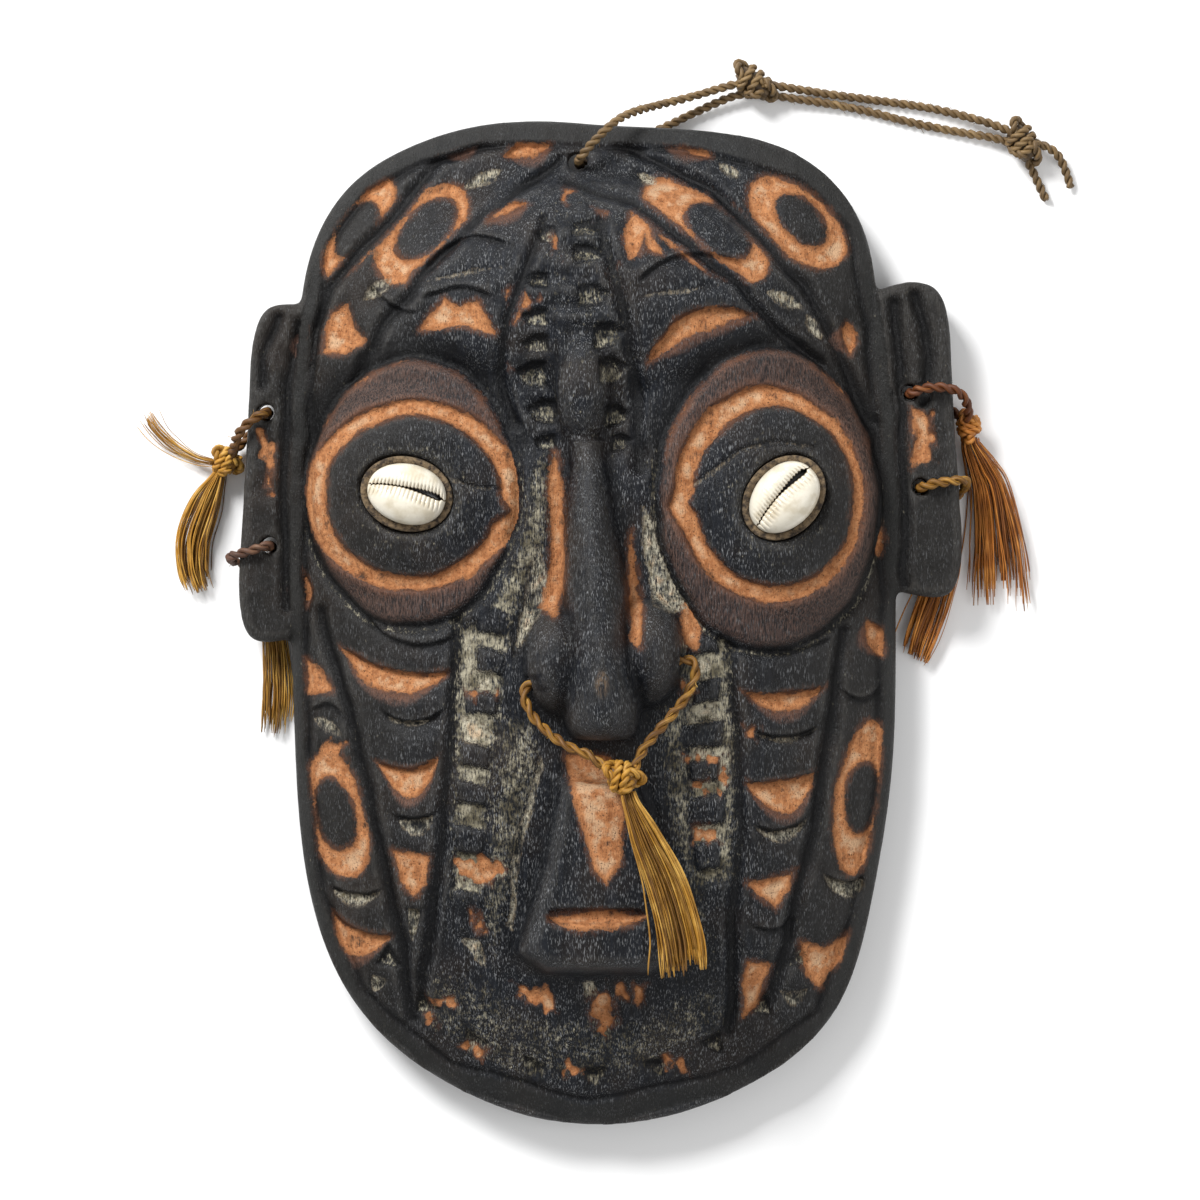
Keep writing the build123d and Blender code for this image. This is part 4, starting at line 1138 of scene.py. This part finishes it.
# A cord's two plies, as shares of its diameter
PLY_RADIUS, PLY_OFFSET, PLY_STEP = 0.275, 0.26, 0.22
PLY_SIDES, CORE_SIDES, FIBRE_SIDES = 7, 10, 4
HAIR, HAIR_SIDES, HAIR_STEP = 0.07, 3, 0.4
FLOOR_GAP = 0.12  # how far strands stay above the floor


class Strands:
    """Thin closed tubes gathered into one mesh, with UVs of once round and length in millimetres."""

    def __init__(self):
        self.points, self.faces, self.uvs, self.shades, self.count = [], [], [], [], 0

    def add(self, line, radius, sides, shade, start=0.0):
        line = np.asarray(line, float)
        n = len(line)
        a, b = frames_along(line)
        radius = np.broadcast_to(radius, n)
        turns = np.arange(sides) / sides * 2 * math.pi
        rings = (np.cos(turns)[None, :, None] * a[:, None] + np.sin(turns)[None, :, None] * b[:, None])
        rings = line[:, None] + rings * radius[:, None, None]
        run = start + run_along(line)
        base = self.count
        for i in range(n - 1):
            for j in range(sides):
                k = (j + 1) % sides
                first, second = base + i * sides, base + (i + 1) * sides
                self.faces.append((first + j, second + j, second + k, first + k))
                u, w = j / sides, (j + 1) / sides
                self.uvs += [(u, run[i]), (u, run[i + 1]), (w, run[i + 1]), (w, run[i])]
        for end, order in ((0, range(sides)), (n - 1, range(sides - 1, -1, -1))):
            self.faces.append(tuple(base + end * sides + j for j in order))
            self.uvs += [(j / sides, run[end]) for j in order]
        self.points.append(rings.reshape(-1, 3))
        self.shades.append(np.full(n * sides, shade))
        self.count += n * sides

    def twist(self, line, diameter, pitch, shade, loose):
        """A two-ply cord along the line: two strands wound round each other."""
        line, run = spaced(line, diameter * PLY_STEP)
        a, b = frames_along(line)
        for ply in (0, 1):
            angle = 2 * math.pi * run / pitch + math.pi * ply
            offset = diameter * PLY_OFFSET * (1 + loose * np.sin(run * 1.7 + 2 * ply))
            strand = line + offset[:, None] * (np.cos(angle)[:, None] * a + np.sin(angle)[:, None] * b)
            lump = 1 + 0.06 * np.sin(run * 2.3 + ply) + 0.04 * np.sin(run * 5.1)
            self.add(strand, diameter * PLY_RADIUS * lump, PLY_SIDES, shade + 0.12 * (ply - 0.5))

    def piece(self, name, material, body, slot, *replaced, floor=FLOOR_GAP):
        points = np.vstack(self.points)
        points[:, 2] = np.maximum(points[:, 2], floor)
        made = new_piece(name, points, self.faces, material, body, slot, *replaced)
        layer = made.data.uv_layers.new(name="UVMap")
        layer.data.foreach_set("uv", np.array(self.uvs, np.float32).ravel())
        set_attribute(made.data, "shade", np.concatenate(self.shades))
        return made


def cord_piece(node, route, diameter, pitch, material, body, slot, fuzz, shade=0.5):
    """A two-ply cord along a route in millimetres, with a few loose hairs, and its line."""
    line = line_of(node + "_line", route)
    strands = Strands()
    strands.twist(line, diameter, pitch, shade, 0.06)
    even, _ = spaced(line, 0.5)
    a, b = frames_along(even)
    for _ in range(fuzz):
        i = int(rng.integers(6, len(even) - 6))
        angle = rng.uniform(0, 2 * math.pi)
        out = math.cos(angle) * a[i] + math.sin(angle) * b[i]
        along = even[i + 3] - even[i - 3]
        along /= np.linalg.norm(along)
        reach = rng.uniform(0.7, 1.9)
        start = even[i] + out * diameter * 0.3
        bend = start + along * reach * 0.8 + out * reach * 0.35
        tip = bend + along * reach * 0.5 + out * reach * rng.uniform(0.1, 0.7)
        hair, _ = spaced([start, bend, tip], HAIR_STEP)
        strands.add(hair, HAIR, HAIR_SIDES, rng.uniform(0.3, 1.0))
    return strands.piece(node + "_twine", material, body, slot, node), line


def knot_piece(node, diameter, turn, material, body, slot, wraps):
    """Cord drawn up in a tight knot inside the CAD's knot: a trefoil, with turns wound over it."""
    low, high = box_of(node)
    middle = (low + high) / 2
    spots = coordinates(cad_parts[node].data) - middle
    direction = np.array([math.cos(math.radians(turn)), math.sin(math.radians(turn)), 0.0])
    across = np.array([-direction[1], direction[0], 0.0])
    inset = diameter * 0.45
    half_long = np.abs(spots @ direction).max() - inset
    half_wide = np.abs(spots @ across).max() - inset
    half_high = (high[2] - low[2]) / 2 - inset
    t = np.linspace(0, 2 * math.pi, 160)
    u = (np.sin(t) + 2 * np.sin(2 * t)) / 2.75
    v = (np.cos(t) - 2 * np.cos(2 * t)) / 3.0
    w = -np.sin(3 * t)
    tied = middle + u[:, None] * direction * half_long + v[:, None] * across * half_wide
    tied[:, 2] += w * half_high * 0.8
    strands = Strands()
    strands.twist(tied, diameter, diameter * 1.9, 0.5, 0.05)
    if wraps:
        s = np.linspace(0, 1, 120)
        angle = 2 * math.pi * wraps * s
        along = (s - 0.5) * half_long * 0.9
        belly = np.sqrt(np.maximum(1 - (along / (half_long + diameter)) ** 2, 0.1))
        wound = middle + along[:, None] * direction
        wound = wound + (np.cos(angle) * belly * (half_wide + 0.1 * diameter))[:, None] * across
        wound[:, 2] += np.sin(angle) * belly * half_high
        strands.twist(wound, diameter * 0.9, diameter * 1.9, 0.62, 0.05)
    # a darker core in the knot's middle: painted shade between its turns
    core = np.linspace(-0.75, 0.75, 14)
    fat = np.sqrt(1 - core**2)
    girth = fat * min(half_wide, half_high) * 0.85
    strands.add(middle + core[:, None] * direction * half_long, girth, CORE_SIDES, 0.2)
    return strands.piece(node + "_tied", material, body, slot, node)


def through(points, count):
    """A smooth Catmull-Rom line through rows of numbers, as count rows."""
    rows = np.asarray(points, float)
    rows = np.vstack([2 * rows[0] - rows[1], rows, 2 * rows[-1] - rows[-2]])
    at = np.linspace(0, len(points) - 1.0001, count)
    i = at.astype(int)
    t = (at - i)[:, None]
    a, b, c, d = rows[i], rows[i + 1], rows[i + 2], rows[i + 3]
    return 0.5 * (2 * b + (c - a) * t + (2 * a - 5 * b + 4 * c - d) * t**2 + (3 * b - a - 3 * c + d) * t**3)


def tassel_piece(node, sections, count, thick, material, body, slot, wild, strays, floor=FLOOR_GAP, locks=9):
    """Fibres in locks down through oval sections (x, y, z, half width, half thickness), in millimetres."""
    path = through(sections, 40)
    centre, half = path[:, :3], path[:, 3:]
    tangents = np.gradient(centre, axis=0)
    across = np.cross((0, 0, 1), tangents)
    across /= np.linalg.norm(across, axis=1)[:, None]
    up = np.cross(tangents, across)
    up /= np.linalg.norm(up, axis=1)[:, None]
    reach = np.linspace(0, 1, len(path))
    places = [((k + 0.5) / locks * 2 - 1, rng.uniform(-0.6, 0.6)) for k in range(locks)]
    sways = rng.normal(0, 0.13 * wild, (locks, 2))
    turns = rng.uniform(0, 2 * math.pi, locks)
    ends = rng.uniform(0.86, 1.0, locks)
    tones = rng.uniform(0.1, 0.9, locks)
    strands = Strands()
    for k in range(count + strays):
        lock = k % locks
        stray = k >= count
        u, v = places[lock]
        loose = 0.30 if stray else 0.085 + 0.05 * wild
        u, v = u * 0.88 + rng.normal(0, loose), v + rng.normal(0, 3 * loose)
        spread = 1.0 + (rng.uniform(0.4, 1.0) * reach**2 if stray else 0)
        drift = sways[lock] + rng.normal(0, 0.05 * wild, 2)
        wave = 0.09 * wild * np.sin(reach * 5.0 + turns[lock]) * reach
        wave += 0.035 * wild * np.sin(reach * rng.uniform(10, 22) + rng.uniform(0, 6)) * reach**0.5
        side = (u * spread + drift[0] * reach**1.5 + wave) * half[:, 0]
        lift = np.clip(v + drift[1] * reach + 0.8 * wave, -1, 1) * half[:, 1]
        line = centre + side[:, None] * across + lift[:, None] * up
        last = int(len(path) * min(ends[lock] * rng.uniform(0.95, 1.03), 1.0))
        line = line[:max(last, 8)]
        body_shape = np.full(len(line), thick * rng.uniform(0.6, 1.25))
        body_shape[-2:] *= (0.8, 0.45)
        shade = np.clip(tones[lock] + rng.normal(0, 0.22), 0, 1)
        strands.add(line, body_shape, FIBRE_SIDES, shade, rng.uniform(0, 40))
    return strands.piece(node + "_fibres", material, body, slot, node, floor=floor)


# ---------------------------------------------------------------- shells and putty
def cowrie(side, turn, material):
    """A cowrie mouth upwards: two lips with teeth along a curved slit that opens towards one end."""
    low, high = box_of(f"{side}_cowrie")
    middle = (low + high) / 2
    half_long, half_wide, half_high = 10.2, 7.75, 5.2
    across, round_top, round_back = 190, 150, 26
    s = np.linspace(-1, 1, across + 1)[1:-1]
    u = np.sin(s * math.pi / 2)
    t = np.linspace(1, -1, round_top)
    top = math.pi / 2 - math.pi / 2 * (0.42 * t + 0.58 * t**3)
    back = np.linspace(math.pi, 2 * math.pi, round_back + 2)[1:-1]
    angle = np.concatenate([top, back])
    u, angle = np.meshgrid(u, angle, indexing="ij")
    girth = np.sqrt(np.maximum(1 - u**2, 0)) ** 0.92 * (1 + 0.05 * u)
    x = half_long * u
    y = half_wide * girth * np.cos(angle)
    z = half_high * girth * np.sin(angle)
    upper = np.sin(angle) > 0

    slit = 0.2 + 1.3 * np.maximum(1 - (u - 0.1) ** 2, 0) ** 0.8
    opening = 0.16 + 0.62 * smooth_step(u, -0.25, 0.75) * (1 - smooth_step(u, 0.80, 0.93))
    from_slit = y - slit
    lip_up = from_slit > 0
    tooth = np.sin(x * 2 * math.pi / np.where(lip_up, 0.95, 1.12) + 0.35 * from_slit * u)
    edge = np.abs(from_slit) - opening + 0.16 * np.where(lip_up, tooth, 0.5 * tooth)
    length = np.where(lip_up, 1.5, 3.4)
    fade = smooth_step(edge, -0.1, 0.3) * (1 - smooth_step(edge, 0.5 * length, length)) * (np.abs(u) < 0.93)
    roll = -1.5 * np.exp(-np.maximum(edge, 0) / 1.3) * (1 - np.abs(u) ** 6)
    groove = np.minimum(tooth, 0.1)
    deep = 1 - smooth_step(edge, -0.28, 0.05)
    z = z + np.where(upper, roll + 0.26 * fade * groove - 2.3 * deep * (np.abs(u) < 0.95), 0)
    # painted shade: darker in the grooves between the teeth and at the lips' edge, and near black inside the
    # slit
    hollow_shade = np.where(upper, np.clip(0.55 * fade * -groove + 1.0 * smooth_step(-edge, -0.25, 0.1), 0, 1), 0)
    dark = np.where(upper, smooth_step(-edge, -0.02, 0.2), 0)

    a = math.radians(turn)
    world = np.stack([
        middle[0] + x * math.cos(a) - y * math.sin(a),
        middle[1] + x * math.sin(a) + y * math.cos(a),
        middle[2] + z,
    ], -1)
    rows, columns = x.shape
    points = world.reshape(-1, 3)
    ends = [middle + e * half_long * np.array([math.cos(a), math.sin(a), 0]) for e in (-1, 1)]
    faces = []
    for i in range(rows - 1):
        for j in range(columns):
            k = (j + 1) % columns
            faces.append((i * columns + j, (i + 1) * columns + j, (i + 1) * columns + k, i * columns + k))
    tail, head = rows * columns, rows * columns + 1
    for j in range(columns):
        k = (j + 1) % columns
        faces.append((tail, j, k))
        faces.append((head, (rows - 1) * columns + k, (rows - 1) * columns + j))
    points = np.vstack([points, ends])
    piece = new_piece(f"{side}_shell", points, faces, material, "mask", "shell", f"{side}_cowrie")
    set_attribute(piece.data, "hollow_shade", np.concatenate([hollow_shade.ravel(), [0, 0]]))
    set_attribute(piece.data, "mouth", np.concatenate([dark.ravel(), [0, 0]]))


def putty_ring(side, material):
    """The lumpy resin round a shell, pressed up against it here and there."""
    mesh = remeshed(f"{side}_putty_ring", f"{side}_putty", 0.3)
    points = coordinates(mesh)
    points = smoothed(points, edges_of(mesh), np.full(len(points), 0.5), 6)
    lumps = rng.uniform(-1, 1, (2, 64, 64))
    x, y, z = points.T
    lift = 0.5 * sampled(lumps[0], x / 2.2 + 60, y / 2.2 + 60)
    lift += 0.25 * sampled(lumps[1], x / 0.9 + 120, y / 0.9 + 120)
    top = smooth_step(z, z.max() - 1.6, z.max() - 0.4)
    points[:, 2] += top * (0.1 + 0.7 * lift)
    place_vertices(mesh, points)
    mesh.name = f"{side}_putty_ring"
    piece = bpy.data.objects.new(f"{side}_putty_ring", mesh)
    settle(piece, material, "mask", "putty", f"{side}_putty")


# ---------------------------------------------------------------- the object
EAR_EDGE = 94.25  # the ears' outer edge line, out from the middle
HALF_LENGTH = 131.0


def beside_ear(side, places):
    """Turns each place's first number, its distance out from the ear's edge line, into x."""
    return [(side * (EAR_EDGE + out), *rest) for out, *rest in places]


HANGING_DIAMETER, HANGING_PITCH = 2.3, 4.6
NOSE_DIAMETER, NOSE_PITCH = 2.6, 8.6
EAR_DIAMETER, EAR_PITCH = 2.6, 6.4
HANG_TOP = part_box("hanging_cord")[1].z / MM - 1.75
HANG_FLOOR = 1.3
HANGING_ROUTE = [
    (123.9, HALF_LENGTH - 16.0, HANG_FLOOR), (122.6, HALF_LENGTH - 11.2, HANG_FLOOR),
    (119.3, HALF_LENGTH - 6.0, 3.4), (112.0, HALF_LENGTH - 4.0, 4.6), (103.5, HALF_LENGTH + 0.6, 3.2),
    (86.0, HALF_LENGTH + 5.2, HANG_FLOOR), (66.0, HALF_LENGTH + 7.6, HANG_FLOOR),
    (50.5, HALF_LENGTH + 9.8, 2.6), (38.0, HALF_LENGTH + 11.6, 5.4), (27.0, HALF_LENGTH + 8.2, 4.8),
    (16.0, HALF_LENGTH + 5.0, 8.6), (6.0, HALF_LENGTH + 1.5, HANG_TOP - 2.4),
    (-0.5, HALF_LENGTH - 4.5, HANG_TOP + 0.6), (-5.9, 120.4, HANG_TOP), (-5.5, 120.7, HANG_TOP / 2),
    (-5.9, 120.4, HANG_FLOOR + 0.3), (4.5, HALF_LENGTH - 5.4, HANG_FLOOR),
    (16.0, HALF_LENGTH - 0.8, HANG_FLOOR), (26.0, HALF_LENGTH + 4.2, 1.8),
    (38.0, HALF_LENGTH + 9.2, 3.0), (50.5, HALF_LENGTH + 7.2, 2.4),
    (66.0, HALF_LENGTH + 5.1, HANG_FLOOR), (80.0, HALF_LENGTH + 1.4, HANG_FLOOR),
    (94.0, HALF_LENGTH - 1.6, HANG_FLOOR), (105.0, HALF_LENGTH - 3.2, 2.8), (110.6, HALF_LENGTH - 6.2, 3.4),
    (113.6, HALF_LENGTH - 11.2, 1.9), (115.6, HALF_LENGTH - 15.6, HANG_FLOOR),
    (117.4, HALF_LENGTH - 19.4, HANG_FLOOR),
]
NOSE_REST = 46.0
NOSE_ROUTE = [
    (2.6, -37.6, NOSE_REST), (-2.0, -33.4, 45.2), (-8.0, -31.4, 43.2), (-13.4, -27.8, 40.0),
    (-18.4, -22.6, 37.0), (-20.4, -15.9, 35.2), (-14.0, -14.5, 35.0), (-3.2, -12.6, 35.2),
    (7.7, -11.4, 34.8), (18.5, -9.5, 35.0), (24.8, -8.9, 35.3), (24.0, -15.6, 36.4),
    (19.6, -21.8, 38.6), (14.6, -27.4, 41.4), (10.0, -32.6, 44.4), (8.4, -37.6, NOSE_REST),
]
NOSE_TASSEL = [
    (7.0, -42.9, NOSE_REST, 1.9, 1.8), (8.2, -46.4, NOSE_REST, 2.4, 2.1),
    (11.6, -54.0, NOSE_REST - 0.4, 4.2, 2.6), (17.0, -66.0, NOSE_REST - 1.0, 5.6, 2.6),
    (20.6, -79.0, NOSE_REST - 1.6, 6.2, 2.4), (21.8, -89.5, NOSE_REST - 2.0, 6.2, 2.0),
]
EAR_FLOOR, EAR_OVER, EAR_MIDDLE = 3.45, 16.5, 9.6
# Each ear's cords: side, route, knot turn, wraps, tassel sections, fibres
EAR_CORDS = {
    "left_ear_upper": (-1, [
        (2.65, 43.6, 5.8), (1.35, 46.6, 11.4), (0.15, 49.8, EAR_OVER - 0.7), (-3.35, 53.0, EAR_OVER + 0.7),
        (-7.0, 55.1, EAR_OVER), (-7.25, 55.4, EAR_MIDDLE), (-7.0, 55.1, EAR_FLOOR - 0.5),
        (-3.05, 50.6, EAR_FLOOR - 0.3), (2.15, 45.2, EAR_FLOOR - 0.5), (5.25, 42.8, EAR_FLOOR - 0.2),
    ], -40, 2.0, [
        (5.8, 39.6, 4.2, 1.5, 1.6), (6.65, 37.4, 3.8, 2.2, 2.1), (9.35, 31.5, 3.2, 4.0, 2.4),
        (12.55, 22.5, 2.9, 4.6, 2.3), (12.75, 14.5, 2.5, 4.2, 2.1), (10.95, 8.3, 2.2, 3.4, 1.6),
    ], 90),
    "left_ear_lower": (-1, [
        (-8.35, 14.8, EAR_FLOOR - 1.0), (-7.8, 20.5, EAR_FLOOR - 0.7), (-8.05, 20.2, EAR_MIDDLE),
        (-7.8, 20.5, EAR_OVER), (-3.05, 19.0, EAR_OVER + 0.4), (2.35, 17.6, EAR_OVER - 1.0),
        (2.45, 16.9, EAR_MIDDLE), (2.15, 16.2, EAR_FLOOR - 0.5), (-4.05, 14.5, EAR_FLOOR - 0.8),
    ], 0, 0, [
        (-6.65, 9.6, 2.5, 1.9, 1.8), (-7.65, 2.0, 2.5, 2.6, 2.0), (-8.65, -8.0, 2.5, 3.4, 2.0),
        (-8.85, -19.0, 2.4, 4.0, 2.0), (-8.25, -30.0, 2.2, 3.6, 1.6),
    ], 70),
    "right_ear_upper": (1, [
        (2.15, 53.4, 8.2), (1.95, 57.6, 12.4), (-1.25, 60.9, EAR_OVER + 0.3), (-7.25, 61.9, EAR_OVER + 0.6),
        (-13.5, 60.3, EAR_OVER), (-13.25, 60.0, EAR_MIDDLE), (-13.5, 60.3, EAR_FLOOR - 0.5),
        (-7.45, 59.2, EAR_FLOOR - 0.2), (-1.65, 56.6, EAR_FLOOR - 0.4), (1.95, 52.0, 4.3),
    ], 96, 2.5, [
        (2.9, 48.6, 5.6, 1.8, 1.8), (3.35, 46.2, 5.0, 2.4, 2.2), (6.15, 40.5, 3.6, 4.0, 2.6),
        (8.65, 34.0, 3.0, 5.2, 2.5), (10.75, 19.0, 2.7, 7.0, 2.3), (11.55, 3.0, 2.4, 7.8, 1.8),
    ], 130),
    "right_ear_lower": (1, [
        (-6.45, 31.7, EAR_FLOOR - 1.0), (-10.7, 35.7, EAR_FLOOR - 0.7), (-10.45, 35.4, EAR_MIDDLE),
        (-10.7, 35.7, EAR_OVER), (-5.75, 36.9, EAR_OVER + 0.3), (1.05, 37.5, EAR_OVER - 1.0),
        (1.55, 36.6, EAR_MIDDLE), (1.05, 35.2, EAR_FLOOR - 0.5), (-2.55, 31.2, EAR_FLOOR - 0.8),
    ], 0, 0, [
        (-4.05, 26.4, 2.5, 1.9, 1.8), (-2.85, 18.0, 2.5, 3.6, 2.0), (-5.65, 8.0, 2.5, 4.4, 2.0),
        (-9.45, -3.0, 2.4, 4.2, 1.9), (-12.05, -11.0, 2.2, 3.2, 1.5),
    ], 90),
}
WISP = [
    (7.6, 42.2, 4.0, 0.9, 0.9), (12.35, 43.4, 2.6, 1.2, 1.0), (17.95, 46.4, 1.8, 1.6, 1.0),
    (22.95, 51.0, 1.5, 1.6, 0.9), (26.35, 56.6, 1.4, 1.8, 0.8),
]
FIBRE, NOSE_FIBRE, WISP_FIBRE = 0.17, 0.24, 0.13  # radii

twine = fibre_material("dark_twine", rgb(58, 44, 28), rgb(116, 92, 58), rgb(150, 124, 84))
golden = fibre_material("golden_raffia", rgb(82, 52, 12), rgb(182, 130, 42), rgb(224, 182, 96))
reddish = fibre_material("reddish_raffia", rgb(82, 42, 9), rgb(178, 108, 38), rgb(216, 150, 70))
brown = fibre_material("dark_brown_cord", rgb(46, 30, 24), rgb(92, 62, 46), rgb(124, 92, 66))

look_down_camera()
studio()

# Cords first, then what is tied on them
hanging, hanging_line = cord_piece(
    "hanging_cord", HANGING_ROUTE, HANGING_DIAMETER, HANGING_PITCH,
    twine, "hanging_loop", "hanging_fibre", 60)
hanging_knots = [
    knot_piece(name, HANGING_DIAMETER, knot_turn, twine, "hanging_loop", "hanging_fibre", wraps)
    for name, knot_turn, wraps in (("hanging_knot", -42, 2.2), ("loop_end_knot", -62, 2.4))
]

nose, nose_line = cord_piece(
    "nose_cord", NOSE_ROUTE, NOSE_DIAMETER, NOSE_PITCH, golden, "nose_loop", "golden_fibre", 14, 0.15)
nose_tied = knot_piece("nose_knot", 2.4, -20, golden, "nose_loop", "golden_fibre", 2.0)
nose_fibres = tassel_piece("nose_tassel", NOSE_TASSEL, 170, NOSE_FIBRE, golden, "nose_tassel_body",
                           "golden_fibre", 0.55, 8, NOSE_REST - 5.0, 13)

# Each ear cord's look, slot and shade, then its tassel's look and slot
EAR_LOOKS = {
    "left_ear_upper": (golden, "golden_fibre", -0.1, golden, "golden_fibre"),
    "left_ear_lower": (brown, "dark_fibre", 0.5, golden, "golden_fibre"),
    "right_ear_upper": (reddish, "red_fibre", -0.1, reddish, "red_fibre"),
    "right_ear_lower": (golden, "golden_fibre", 0.2, reddish, "red_fibre"),
}
for name, (side, route, knot_turn, wraps, sections, fibres) in EAR_CORDS.items():
    look, slot, shade, tassel_look, tassel_slot = EAR_LOOKS[name]
    cord, line = cord_piece(
        f"{name}_cord", beside_ear(side, route), EAR_DIAMETER, EAR_PITCH, look, "mask", slot, 8, shade)
    knot_cord = 2.2 if wraps else 1.6
    tied = knot_piece(f"{name}_knot", knot_cord, knot_turn, tassel_look, "mask", tassel_slot, wraps)
    tassel_body = name.replace("_ear", "") + "_tassel"
    with_it = [tied, tassel_piece(f"{name}_tassel", beside_ear(side, sections), fibres, FIBRE, tassel_look,
                                  tassel_body, tassel_slot, 1.0, 8)]
    if name == "left_ear_upper":
        with_it.append(tassel_piece("left_ear_wisp", beside_ear(-1, WISP), 14, WISP_FIBRE, golden, "mask",
                                    "golden_fibre", 2.2, 5))

shell = shell_material()
putty = putty_material()
cowrie("left", -14.0, shell)
cowrie("right", 47.0, shell)
putty_ring("left", putty)
putty_ring("right", putty)
mask_piece()
